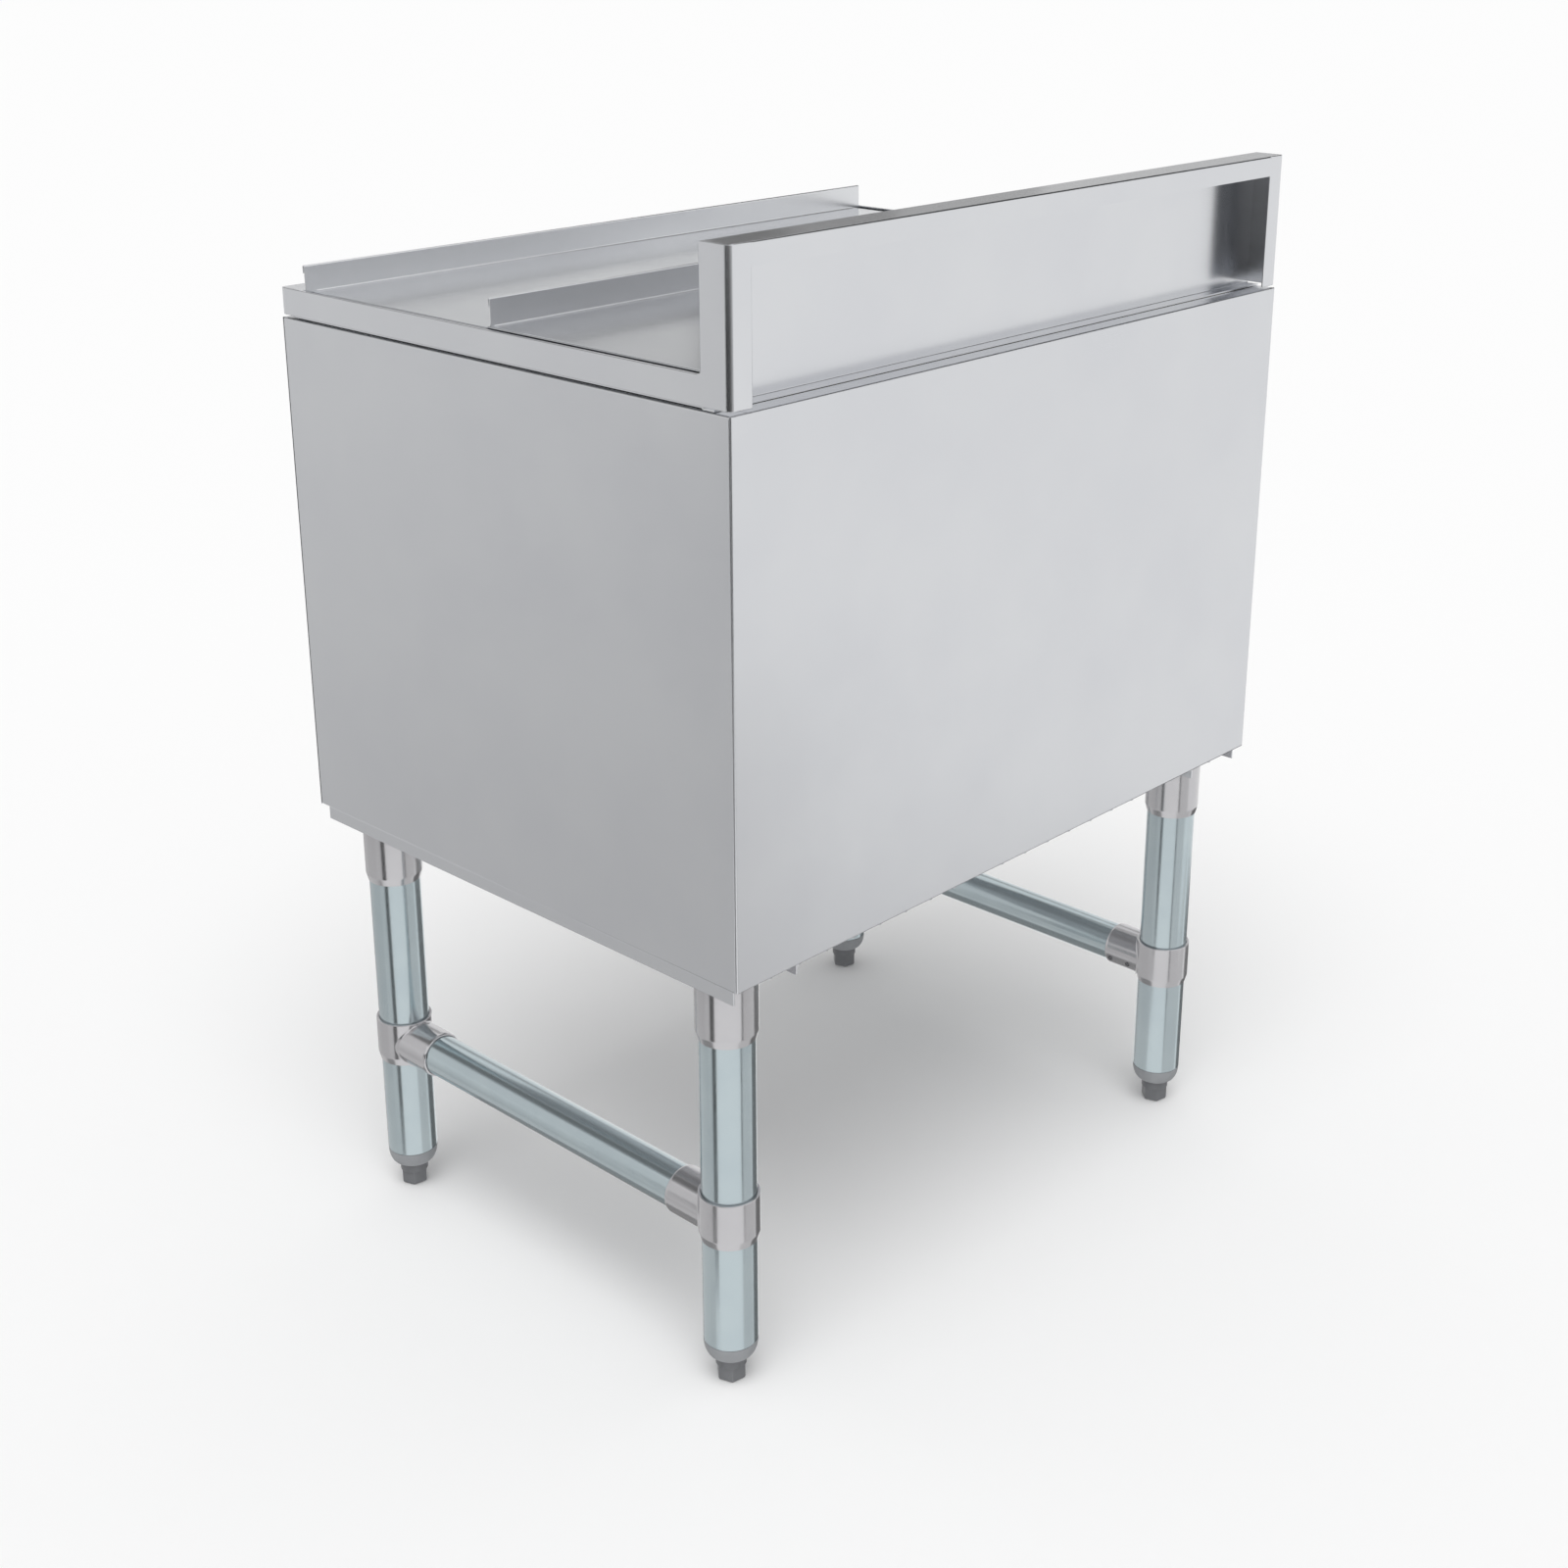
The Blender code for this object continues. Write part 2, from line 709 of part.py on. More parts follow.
def build_drain():
    flange_bottom = liner_floor + fit_gap
    flange_top = flange_bottom + drain_flange_thickness
    seat_radius = strainer_radius + fit_gap
    seat_level = flange_top - strainer_thickness - fit_gap
    tail_end = body_bottom - drain_tail_reach
    drain = turned(
        "drain_body",
        [
            (drain_flange_radius, flange_top),
            (drain_flange_radius, flange_bottom),
            (drain_tail_radius, flange_bottom),
            (drain_tail_radius, tail_end),
            (drain_bore_radius, tail_end),
            (drain_bore_radius, seat_level),
            (seat_radius, seat_level),
            (seat_radius, flange_top),
        ],
        tube_facets, "chromed_brass", ring=True,
    )
    hole_radius = drain_tail_radius + fit_gap
    gasket_top = liner_floor - liner_sheet - fit_gap
    gasket_bottom = gasket_top - gasket_thickness
    gasket = turned(
        "drain_gasket", tube_profile(gasket_radius, hole_radius, gasket_bottom, gasket_top),
        tube_facets, "gasket_rubber", ring=True,
    )
    nut_top = gasket_bottom - fit_gap
    nut_shape = bmesh.new()
    bmesh.ops.create_cone(
        nut_shape, cap_ends=True, segments=hexagon, depth=locknut_height,
        radius1=locknut_across_corners / 2, radius2=locknut_across_corners / 2,
    )
    bmesh.ops.translate(nut_shape, vec=(0, 0, nut_top - locknut_height / 2), verts=nut_shape.verts)
    round_edges(nut_shape, edges_at(nut_shape, up, nut_top - locknut_height), locknut_chamfer, 1)
    locknut = add_object("drain_locknut", mesh_of("drain_locknut", nut_shape), "chromed_brass")
    nut_bore = cylinder("locknut_bore", hole_radius, body_bottom, liner_floor, tube_facets, (0, drain_y))
    cut(locknut, nut_bore)
    strainer_low = seat_level + fit_gap
    strainer = cylinder(
        "drain_strainer", strainer_radius, strainer_low, strainer_low + strainer_thickness,
        tube_facets, finish="chromed_brass",
    )
    for i in range(strainer_ring_holes + 1):
        angle = full_turn * i / strainer_ring_holes
        reach = strainer_ring_radius if i < strainer_ring_holes else 0
        place = (reach * math.cos(angle), drain_y + reach * math.sin(angle))
        cut(strainer, cylinder(
            "strainer_hole_" + str(i + 1), strainer_hole_radius, seat_level - overrun, flange_top + overrun,
            screw_facets, place,
        ))
    for piece in (drain, gasket, locknut, strainer):
        piece.location = (0, drain_y, 0)
    return cylinder(
        "drain_hole", hole_radius, body_bottom - overrun, liner_floor + overrun, tube_facets, (0, drain_y)
    )


def build_lid(name, half_span, front, rear, top, open_ends, handle_half_span, handle_back):
    """A shallow pan of sheet with an upright hemmed handle along its front edge."""
    shape = block((-half_span, front, lid_bottom), (half_span, rear, top))
    gone = [f for f in shape.faces if f.normal.z < -half_share]
    if open_ends:
        gone += [f for f in shape.faces if abs(f.normal.y) > half_share]
    bmesh.ops.delete(shape, geom=gone, context="FACES")
    folds = [e for e in shape.edges if not e.is_boundary]
    round_edges(shape, folds, lid_corner_radius, bend_facets)
    mesh = bpy.data.meshes.new(name)
    shape.to_mesh(mesh)
    shape.free()
    lid = add_object(name, mesh, "lid_steel")
    thicken(lid, lid_sheet, -1)
    handle_top = top + lid_handle_height
    join(lid, folded_sheet(
        name + "_handle", across,
        [
            (handle_back, top - lid_sheet / 2),
            (handle_back, handle_top),
            (handle_back - handle_depth, handle_top),
            (handle_back - handle_depth, handle_top - lid_hem_height),
        ],
        (-handle_half_span, handle_half_span), lid_sheet, lid_sheet + lid_fold_radius,
    ))
    return lid


def build_leg(side, sign, end, way):
    """One leg: socket, tube, tee clamp with its two set screws, end cup and adjustable foot."""
    place = (sign * leg_x, way * leg_y)
    label = "_" + side + "_" + end
    inner_top = socket_top - sleeve_wall
    socket = turned(
        "leg_socket" + label,
        [
            (0, socket_top),
            (sleeve_radius, socket_top),
            (sleeve_radius, socket_bottom + sleeve_lip_height),
            (sleeve_radius - sleeve_lip_width, socket_bottom),
            (sleeve_bore, socket_bottom),
            (sleeve_bore, inner_top),
            (0, inner_top),
        ],
        tube_facets, "cast_socket",
    )
    tube = turned(
        "leg_tube" + label, tube_profile(leg_radius, leg_radius - leg_tube_wall, leg_bottom, leg_top),
        tube_facets, "galvanised_tube", ring=True,
    )
    cup = turned("end_cup" + label, cup_profile(), tube_facets, "grey_plastic", ring=True)
    for piece in (socket, tube, cup):
        piece.location = (*place, 0)
    build_tee(label, sign, way)
    build_foot(label, place)


def cup_profile():
    """The cup's plug inside the tube, its bowl below the tube and the bore for the foot's stem."""
    plug_radius = leg_radius - leg_tube_wall - fit_gap
    bowl_top = leg_bottom - fit_gap
    bowl = []
    for i in range(cove_facets + 1):
        angle = math.pi / 2 * i / cove_facets
        radius = cup_mouth_radius + (leg_radius - cup_mouth_radius) * math.cos(angle)
        bowl.append((radius, bowl_top - (bowl_top - cup_bottom) * math.sin(angle)))
    stem_bore = foot_stem_radius + fit_gap
    plug_top = leg_bottom + cup_plug_length
    return [(plug_radius, plug_top), (plug_radius, bowl_top), *bowl, (stem_bore, cup_bottom), (stem_bore, plug_top)]


def build_foot(label, place):
    """A foot: a hexagon for the wrench, a round collar above it and the stem up into the cup."""
    collar_bottom = foot_height - foot_collar_height
    hexagon_top = foot_height - foot_collar_height / 2
    shape = bmesh.new()
    bmesh.ops.create_cone(
        shape, cap_ends=True, segments=hexagon, depth=hexagon_top,
        radius1=foot_across_corners / 2, radius2=foot_across_corners / 2,
    )
    bmesh.ops.translate(shape, vec=(0, 0, hexagon_top / 2), verts=shape.verts)
    round_edges(shape, edges_at(shape, up, 0), foot_chamfer, 1)
    foot = add_object("foot" + label, mesh_of("foot" + label, shape), "dark_foot")
    collar = turned(
        "foot_collar" + label,
        [
            (0, collar_bottom),
            (foot_collar_radius, collar_bottom),
            (foot_collar_radius, foot_height),
            (foot_stem_radius, foot_height),
            (foot_stem_radius, foot_height + foot_stem_length),
            (0, foot_height + foot_stem_length),
        ],
        foot_facets,
    )
    for piece in (foot, collar):
        piece.location = (*place, 0)
        piece.rotation_euler.z = foot_turn
    join(foot, collar)


def build_tee(label, sign, way):
    """A tee clamp: an upright sleeve round the leg, a level sleeve for the brace and two set screws."""
    place = (sign * leg_x, way * leg_y)
    low, high = tee_level - tee_drop, tee_level + tee_rise
    tee = turned(
        "leg_tee" + label,
        [
            (0, high),
            (sleeve_radius, high),
            (sleeve_radius, low + sleeve_lip_height),
            (sleeve_radius - sleeve_lip_width, low),
            (0, low),
        ],
        tube_facets, "cast_socket",
    )
    tee.location = (*place, 0)
    arm = turned(
        "tee_arm" + label,
        [
            (0, brace_sleeve_reach),
            (brace_sleeve_radius - brace_sleeve_lip_width, brace_sleeve_reach),
            (brace_sleeve_radius, brace_sleeve_reach - brace_sleeve_lip),
            (brace_sleeve_radius, arm_root),
            (0, arm_root),
        ],
        tube_facets,
    )
    arm_bore = cylinder(
        "tee_arm_bore" + label, brace_sleeve_bore, arm_bore_root, brace_sleeve_reach + overrun, tube_facets
    )
    for piece in (arm, arm_bore):
        piece.location = (*place, tee_level)
        piece.rotation_euler.x = way * math.pi / 2
    join(tee, arm)
    cut(tee, arm_bore, cylinder(
        "tee_leg_bore" + label, sleeve_bore, low - overrun, high + overrun, tube_facets, place
    ))
    rows = (("near", sleeve_radius + set_screw_leg_gap), ("far", brace_sleeve_reach - set_screw_end_gap))
    for row, distance in rows:
        build_set_screw(tee, label + "_" + row, sign, place, way * distance)


def build_set_screw(tee, label, sign, place, distance):
    """A set screw with a hexagon socket, on the clamp's side towards the middle of the bin."""
    tip = brace_radius + fit_gap
    head = tip + set_screw_length
    screw = cylinder("set_screw" + label, set_screw_radius, tip, head, screw_facets, finish="screw_steel")
    drive = cylinder(
        "set_screw_drive" + label, set_screw_socket_radius, head - set_screw_socket_depth, head + overrun, hexagon
    )
    hole = cylinder("set_screw_hole" + label, set_screw_radius + fit_gap, tip / 2, head + overrun, screw_facets)
    for piece in (screw, drive, hole):
        piece.location = (place[0], place[1] - distance, tee_level)
        piece.rotation_euler.y = -sign * (math.pi / 2 + set_screw_drop)
    cut(screw, drive)
    cut(tee, hole)


def build_stand():
    for side, sign in sides:
        for end, way in ends:
            build_leg(side, sign, end, way)
        channel_reach = leg_side_inset - channel_side_gap
        low_x, high_x = sign * leg_x - channel_reach, sign * leg_x + channel_reach
        channel_end = half_depth - channel_end_inset
        folded_sheet(
            "leg_channel_" + side, along,
            [
                (high_x, body_bottom - channel_height),
                (high_x, channel_top),
                (low_x, channel_top),
                (low_x, body_bottom - channel_height),
            ],
            (-channel_end, channel_end), channel_sheet, channel_sheet + fold_radius, "panel_steel",
        )
        brace_end = leg_y - leg_radius - brace_leg_gap
        brace = turned(
            "brace_" + side, tube_profile(brace_radius, brace_radius - brace_wall, -brace_end, brace_end),
            tube_facets, "galvanised_tube", ring=True,
        )
        brace.location = (sign * leg_x, 0, tee_level)
        brace.rotation_euler.x = math.pi / 2


def build_lids():
    inner_half_span = half_width - lid_side_inset - lid_sheet - lid_nest_gap
    build_lid(
        "front_lid", inner_half_span, tray_front + lid_front_gap, rear_handle_back + lid_overlap,
        front_lid_top, False, half_width - front_handle_side_inset, front_handle_back,
    )
    build_lid(
        "rear_lid", half_width - lid_side_inset, rear_handle_back - lid_sheet - lid_front_lip,
        backsplash_front - lid_wall_gap, rear_lid_top, True, half_width - rear_handle_side_inset,
        rear_handle_back,
    )


build_top_frame()
join(build_end_panel("rear_panel", 1), build_weld_heads())
build_end_panel("front_panel", -1)
for side_name, side_sign in sides:
    build_side_panel(side_name, side_sign)
circuit_bores = build_circuits()
drain_hole = build_drain()
bottom_pan = plain_block(
    "bottom_pan", (-panel_side, -panel_end, pan_bottom), (panel_side, panel_end, pan_top), "panel_steel"
)
cut(bottom_pan, circuit_bores, drain_hole)
build_insulation(circuit_bores)
build_liner(circuit_bores, drain_hole)
build_cold_plate(circuit_bores)
build_lids()
build_stand()
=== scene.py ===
import json
import math

import bmesh
import bpy
from mathutils import Matrix, Vector


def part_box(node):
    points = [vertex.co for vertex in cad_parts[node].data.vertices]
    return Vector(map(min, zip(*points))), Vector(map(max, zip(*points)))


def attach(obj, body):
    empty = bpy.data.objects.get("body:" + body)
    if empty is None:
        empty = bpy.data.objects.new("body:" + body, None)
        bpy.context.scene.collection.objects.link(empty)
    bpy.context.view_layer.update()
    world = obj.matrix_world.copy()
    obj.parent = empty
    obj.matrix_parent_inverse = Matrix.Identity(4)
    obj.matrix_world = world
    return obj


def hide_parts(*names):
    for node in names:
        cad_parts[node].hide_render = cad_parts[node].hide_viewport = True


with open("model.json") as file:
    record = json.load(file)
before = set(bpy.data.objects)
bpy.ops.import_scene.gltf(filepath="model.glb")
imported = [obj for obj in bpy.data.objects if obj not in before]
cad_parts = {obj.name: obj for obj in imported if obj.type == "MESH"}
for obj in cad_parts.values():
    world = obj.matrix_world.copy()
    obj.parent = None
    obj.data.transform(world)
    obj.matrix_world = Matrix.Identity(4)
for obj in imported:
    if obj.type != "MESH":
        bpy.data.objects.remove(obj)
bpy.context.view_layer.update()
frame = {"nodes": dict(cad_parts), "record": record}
print("frame loaded,", len(frame["nodes"]), "nodes")


# The body's fixed places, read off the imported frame
binAt = {
    "sheet": 0.0012,
    "foldOuter": 0.0017,
    "halfWide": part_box("top_frame")[1].x,
    "halfDeep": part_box("top_frame")[1].y,
    "skirtLow": 0.7371,
    "rim": 0.7571,
    "top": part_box("top_frame")[1].z,
    "bed": 0.7501,
    "wallFront": 0.20875,
    "trayFront": -0.21025,
    "bodyLow": 0.3434,
    "bodyTop": 0.7349,
}
sides = (("left", -1), ("right", 1))
ends = (("front", -1), ("rear", 1))
corners = [(side, sign, end, way) for side, sign in sides for end, way in ends]
legAt = {"x": 0.2705, "y": 0.1897}
past = 0.01  # how far a cutter reaches beyond the metal
apart = 0.0003  # how far neighbouring sheets stand off one another


def rounded(path, radii, steps=5, closed=True):
    # path corners swapped for arcs, each radius cut down where a side is too short for it
    made = []
    count = len(path)
    for i, spot in enumerate(path):
        here = Vector(spot)
        r = radii[i] if isinstance(radii, (list, tuple)) else radii
        if r <= 0 or (not closed and i in (0, count - 1)):
            made.append(here)
            continue
        before, after = Vector(path[i - 1]) - here, Vector(path[(i + 1) % count]) - here
        half = before.angle(after) / 2
        if half > math.pi / 2 - 0.01:
            made.append(here)
            continue
        reach = min(r / math.tan(half), before.length * 0.49, after.length * 0.49)
        r = reach * math.tan(half)
        before.normalize()
        after.normalize()
        hub = here + (before + after).normalized() * (r / math.sin(half))
        first = here + before * reach - hub
        last = here + after * reach - hub
        sweep = math.atan2(first.cross(last), first.dot(last))
        for k in range(steps + 1):
            turn = Matrix.Rotation(sweep * k / steps, 2)
            made.append(hub + turn @ first)
    return made


def sheetOutline(path, thick, radius, steps=5):
    # the closed edge outline of a folded sheet, its metal on the left of the way the path runs
    spots = [Vector(p) for p in path]
    ways = [(b - a).normalized() for a, b in zip(spots, spots[1:])]
    lefts = [Vector((-w.y, w.x)) for w in ways]
    inner, outerR, innerR = [], [], []
    for i, spot in enumerate(spots):
        if i in (0, len(spots) - 1):
            side = lefts[0] if i == 0 else lefts[-1]
            inner.append(spot + side * thick)
            outerR.append(0)
            innerR.append(0)
            continue
        mitre = (lefts[i - 1] + lefts[i]).normalized()
        inner.append(spot + mitre * (thick / mitre.dot(lefts[i])))
        towardsMetal = ways[i - 1].cross(ways[i]) > 0
        outerR.append(radius if towardsMetal else radius - thick)
        innerR.append(radius - thick if towardsMetal else radius)
    outer = rounded(spots, outerR, steps, closed=False)
    back = rounded(inner, innerR, steps, closed=False)
    return outer + back[::-1]


def drawn(outline, axis, low, high):
    # an outline pulled straight along one axis
    shape = bmesh.new()
    rings = []
    for place in (low, high):
        ring = []
        for u, v in outline:
            spot = [u, v]
            spot.insert(axis, place)
            ring.append(shape.verts.new(spot))
        rings.append(ring)
    count = len(outline)
    for i in range(count):
        j = (i + 1) % count
        shape.faces.new((rings[0][i], rings[0][j], rings[1][j], rings[1][i]))
    shape.faces.new(rings[0])
    shape.faces.new(rings[1][::-1])
    bmesh.ops.recalc_face_normals(shape, faces=shape.faces)
    return shape


def turnedShape(profile, steps=72):
    # a closed profile of (radius, level) spun about the upright axis
    shape = bmesh.new()
    rings = []
    for r, level in profile:
        if r < 1e-6:
            rings.append([shape.verts.new((0, 0, level))] * steps)
        else:
            rings.append([
                shape.verts.new((r * math.cos(math.tau * i / steps), r * math.sin(math.tau * i / steps), level))
                for i in range(steps)
            ])
    for a, b in zip(rings, rings[1:] + rings[:1]):
        for i in range(steps):
            j = (i + 1) % steps
            around = []
            for v in (a[i], a[j], b[j], b[i]):
                if v not in around:
                    around.append(v)
            if len(around) > 2:
                shape.faces.new(around)
    bmesh.ops.recalc_face_normals(shape, faces=shape.faces)
    return shape


def roundRect(halfX, low, high, corner, level, arc=8):
    # one ring of a pan, always with the same number of points
    made = []
    corner = max(corner, 0)
    hubs = ((halfX - corner, high - corner, 0), (corner - halfX, high - corner, 1),
            (corner - halfX, low + corner, 2), (halfX - corner, low + corner, 3))
    for hubX, hubY, quarter in hubs:
        for k in range(arc + 1):
            a = math.pi / 2 * (quarter + k / arc)
            made.append((hubX + corner * math.cos(a), hubY + corner * math.sin(a), level))
    return made


def skinned(rings, capFirst=False, capLast=False):
    shape = bmesh.new()
    made = [[shape.verts.new(p) for p in ring] for ring in rings]
    for a, b in zip(made, made[1:]):
        for i in range(len(a)):
            j = (i + 1) % len(a)
            shape.faces.new((a[i], a[j], b[j], b[i]))
    if capFirst:
        shape.faces.new(made[0])
    if capLast:
        shape.faces.new(made[-1])
    bmesh.ops.remove_doubles(shape, verts=shape.verts, dist=1e-6)
    bmesh.ops.dissolve_degenerate(shape, dist=1e-6, edges=shape.edges)
    bmesh.ops.recalc_face_normals(shape, faces=shape.faces)
    return shape


def quarterTurn(steps):
    return [math.pi / 2 * k / steps for k in range(steps + 1)]


def slab(xs, ys, low, high):
    # a flat block between two x, two y and two levels
    (a, b), (c, e) = sorted(xs), sorted(ys)
    return drawn([(a, c), (b, c), (b, e), (a, e)], 2, low, high)


def gather(whole, extra):
    # adds one shape to another
    loose = bpy.data.meshes.new("loose")
    extra.to_mesh(loose)
    extra.free()
    whole.from_mesh(loose)
    bpy.data.meshes.remove(loose)


def objectFrom(shape, name):
    mesh = bpy.data.meshes.new(name)
    shape.to_mesh(mesh)
    shape.free()
    obj = bpy.data.objects.new(name, mesh)
    bpy.context.scene.collection.objects.link(obj)
    return obj


def fixShape(obj):
    # modifiers so far become the mesh itself, so cutters can go
    bpy.context.view_layer.update()
    graph = bpy.context.evaluated_depsgraph_get()
    mesh = bpy.data.meshes.new_from_object(obj.evaluated_get(graph))
    obj.modifiers.clear()
    old = obj.data
    obj.data = mesh
    bpy.data.meshes.remove(old)


def piece(name, shape, slot, body="cabinet", stands=(), look=None, cuts=(), thick=0, edge=0.00025, crease=34):
    # its finish is the slot's own, unless another look is given
    obj = objectFrom(shape, name)
    if thick:
        wall = obj.modifiers.new("wall", "SOLIDIFY")
        wall.thickness = thick
        wall.offset = -1
        wall.use_even_offset = True
    for tool in cuts:
        bite = obj.modifiers.new("bite", "BOOLEAN")
        bite.object = tool
        bite.operation = "DIFFERENCE"
        bite.solver = "EXACT"
    if thick or cuts:
        fixShape(obj)
    for tool in cuts:
        bpy.data.objects.remove(tool)
    obj.data.shade_smooth()
    obj.data.set_sharp_from_angle(angle=math.radians(crease))
    if edge:
        broken = obj.modifiers.new("broken edge", "BEVEL")
        broken.width = edge
        broken.segments = 2
        broken.limit_method = "ANGLE"
        broken.angle_limit = math.radians(crease)
        broken.use_clamp_overlap = True
    even = obj.modifiers.new("even shading", "WEIGHTED_NORMAL")
    even.keep_sharp = True
    even.weight = 90
    obj.data.materials.clear()
    obj.data.materials.append(look or looks[slot])
    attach(obj, body)
    if stands:
        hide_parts(*stands)


def moved(shape, place=(0, 0, 0), turn=None):
    if turn is not None:
        bmesh.ops.transform(shape, matrix=turn, verts=shape.verts)
    bmesh.ops.translate(shape, vec=place, verts=shape.verts)
    return shape


# Finishes: every one is node work on object coordinates
def node(tree, kind, **values):
    made = tree.nodes.new(kind)
    for key, value in values.items():
        if hasattr(made, key):
            setattr(made, key, value)
        else:
            made.inputs[key].default_value = value
    return made


def ranged(tree, source, low, high, bottom=0, top=1):
    # a value moved from one range to another
    made = node(tree, "ShaderNodeMapRange")
    for name, value in (("From Min", low), ("From Max", high), ("To Min", bottom), ("To Max", top)):
        made.inputs[name].default_value = value
    tree.links.new(source, made.inputs["Value"])
    return made.outputs["Result"]


# what a finish has where its own settings say nothing else
plainFinish = {
    "grainScale": (1, 1, 1), "grainSize": 300, "cloudSize": 9, "roughCloud": 0.03, "roughGrain": 0.03,
    "wearRadius": 0.0008, "wear": 0.35, "relief": 0.05, "reliefDepth": 0.0002,
}


def surface(name, own):
    cfg = {**plainFinish, **own}
    look = bpy.data.materials.new(name)
    look.use_nodes = True
    tree = look.node_tree
    link = tree.links.new
    shader = tree.nodes["Principled BSDF"]
    shader.inputs["Metallic"].default_value = cfg["metal"]
    at = node(tree, "ShaderNodeTexCoord")
    # long strands of grain
    stretch = node(tree, "ShaderNodeMapping", Scale=cfg["grainScale"])
    link(at.outputs["Object"], stretch.inputs["Vector"])
    grain = node(tree, "ShaderNodeTexNoise", Scale=cfg["grainSize"], Detail=3)
    link(stretch.outputs["Vector"], grain.inputs["Vector"])
    # broad clouds, as of handling and cleaning
    cloud = node(tree, "ShaderNodeTexNoise", Scale=cfg["cloudSize"], Detail=5, Roughness=0.55)
    link(at.outputs["Object"], cloud.inputs["Vector"])
    # roughness from both
    coarse = ranged(tree, cloud.outputs["Fac"], 0.3, 0.7, -cfg["roughCloud"], cfg["roughCloud"])
    fine = ranged(tree, grain.outputs["Fac"], 0.3, 0.7, cfg["rough"] - cfg["roughGrain"],
                  cfg["rough"] + cfg["roughGrain"])
    both = node(tree, "ShaderNodeMath", operation="ADD", use_clamp=True)
    link(coarse, both.inputs[0])
    link(fine, both.inputs[1])
    link(both.outputs["Value"], shader.inputs["Roughness"])
    # colour: base, a second tone through the clouds, then rubbed edges
    tone = node(tree, "ShaderNodeMix", data_type="RGBA")
    tone.inputs["A"].default_value = (*cfg["colour"], 1)
    tone.inputs["B"].default_value = (*cfg["second"], 1)
    link(ranged(tree, cloud.outputs["Fac"], 0.35, 0.65), tone.inputs["Factor"])
    soft = node(tree, "ShaderNodeBevel", samples=4, Radius=cfg["wearRadius"])
    facing = node(tree, "ShaderNodeNewGeometry")
    match = node(tree, "ShaderNodeVectorMath", operation="DOT_PRODUCT")
    link(soft.outputs["Normal"], match.inputs[0])
    link(facing.outputs["Normal"], match.inputs[1])
    rub = node(tree, "ShaderNodeMix", data_type="RGBA")
    rub.inputs["B"].default_value = (*cfg["wornColour"], 1)
    link(ranged(tree, match.outputs["Value"], 0.995, 0.90, 0, cfg["wear"]), rub.inputs["Factor"])
    link(tone.outputs["Result"], rub.inputs["A"])
    link(rub.outputs["Result"], shader.inputs["Base Color"])
    # relief from the grain
    relief = node(tree, "ShaderNodeBump", Strength=cfg["relief"], Distance=cfg["reliefDepth"])
    link(grain.outputs["Fac"], relief.inputs["Height"])
    link(relief.outputs["Normal"], shader.inputs["Normal"])
    return look


# what the bin's folded sheets have in common
sheetSteel = {
    "metal": 1, "rough": 0.20, "wornColour": (0.72, 0.73, 0.75), "grainScale": (0.02, 1, 1), "grainSize": 1500,
    "relief": 0.006, "roughGrain": 0.012, "roughCloud": 0.015, "wearRadius": 0.0005,
}
panelSteel = {
    **sheetSteel, "rough": 0.25, "colour": (0.655, 0.665, 0.685), "second": (0.635, 0.645, 0.67),
    "grainScale": (0.02, 0.02, 1), "wearRadius": 0.0006,
}
frameSteel = {
    **sheetSteel, "colour": (0.66, 0.67, 0.69), "second": (0.64, 0.65, 0.675), "wornColour": (0.74, 0.75, 0.77),
    "grainScale": (0.02, 0.02, 1),
}
lidSteel = {**sheetSteel, "colour": (0.64, 0.655, 0.675), "second": (0.615, 0.63, 0.655), "roughCloud": 0.02}
# the handles' finish: the lid's own steel drawn lighter and part diffuse, a painted highlight on the same sheet
handleLitSteel = {
    **sheetSteel, "metal": 0.84, "rough": 0.24, "colour": (0.72, 0.73, 0.75), "second": (0.70, 0.71, 0.73),
    "wearRadius": 0.0004,
}
linerSteel = {
    "metal": 0.50, "rough": 0.32, "colour": (0.84, 0.85, 0.86), "second": (0.81, 0.82, 0.835),
    "wornColour": (0.88, 0.89, 0.90), "grainScale": (0.1, 0.1, 1), "grainSize": 1200, "relief": 0.006,
    "roughGrain": 0.01, "roughCloud": 0.02,
}
tubePaint = {
    "metal": 0.9, "rough": 0.19, "colour": (0.51, 0.585, 0.61), "second": (0.49, 0.565, 0.595),
    "wornColour": (0.58, 0.65, 0.67), "grainScale": (1, 1, 0.05), "grainSize": 900, "relief": 0.01,
    "roughGrain": 0.02, "roughCloud": 0.02, "cloudSize": 30,
}
castPaint = {
    "metal": 0.9, "rough": 0.19, "colour": (0.565, 0.56, 0.575), "second": (0.545, 0.54, 0.555),
    "wornColour": (0.66, 0.66, 0.67), "grainSize": 1400, "relief": 0.03, "roughGrain": 0.025, "cloudSize": 30,
}
castAluminium = {
    "metal": 0.30, "rough": 0.50, "colour": (0.74, 0.75, 0.76), "second": (0.68, 0.69, 0.70),
    "wornColour": (0.84, 0.85, 0.86), "grainSize": 420, "relief": 0.45, "reliefDepth": 0.0004, "roughGrain": 0.08,
}
circuitSteel = {
    "metal": 1, "rough": 0.20, "colour": (0.70, 0.71, 0.72), "second": (0.66, 0.67, 0.68),
    "wornColour": (0.78, 0.79, 0.80), "grainSize": 900, "relief": 0.03,
}
brightBrass = {
    "metal": 1, "rough": 0.14, "colour": (0.72, 0.73, 0.74), "second": (0.69, 0.70, 0.71),
    "wornColour": (0.80, 0.76, 0.66), "grainSize": 600, "relief": 0.02,
}
greyPlastic = {
    "metal": 0, "rough": 0.48, "colour": (0.31, 0.32, 0.335), "second": (0.285, 0.295, 0.31),
    "wornColour": (0.42, 0.43, 0.445), "grainSize": 1200, "relief": 0.15, "cloudSize": 60,
}
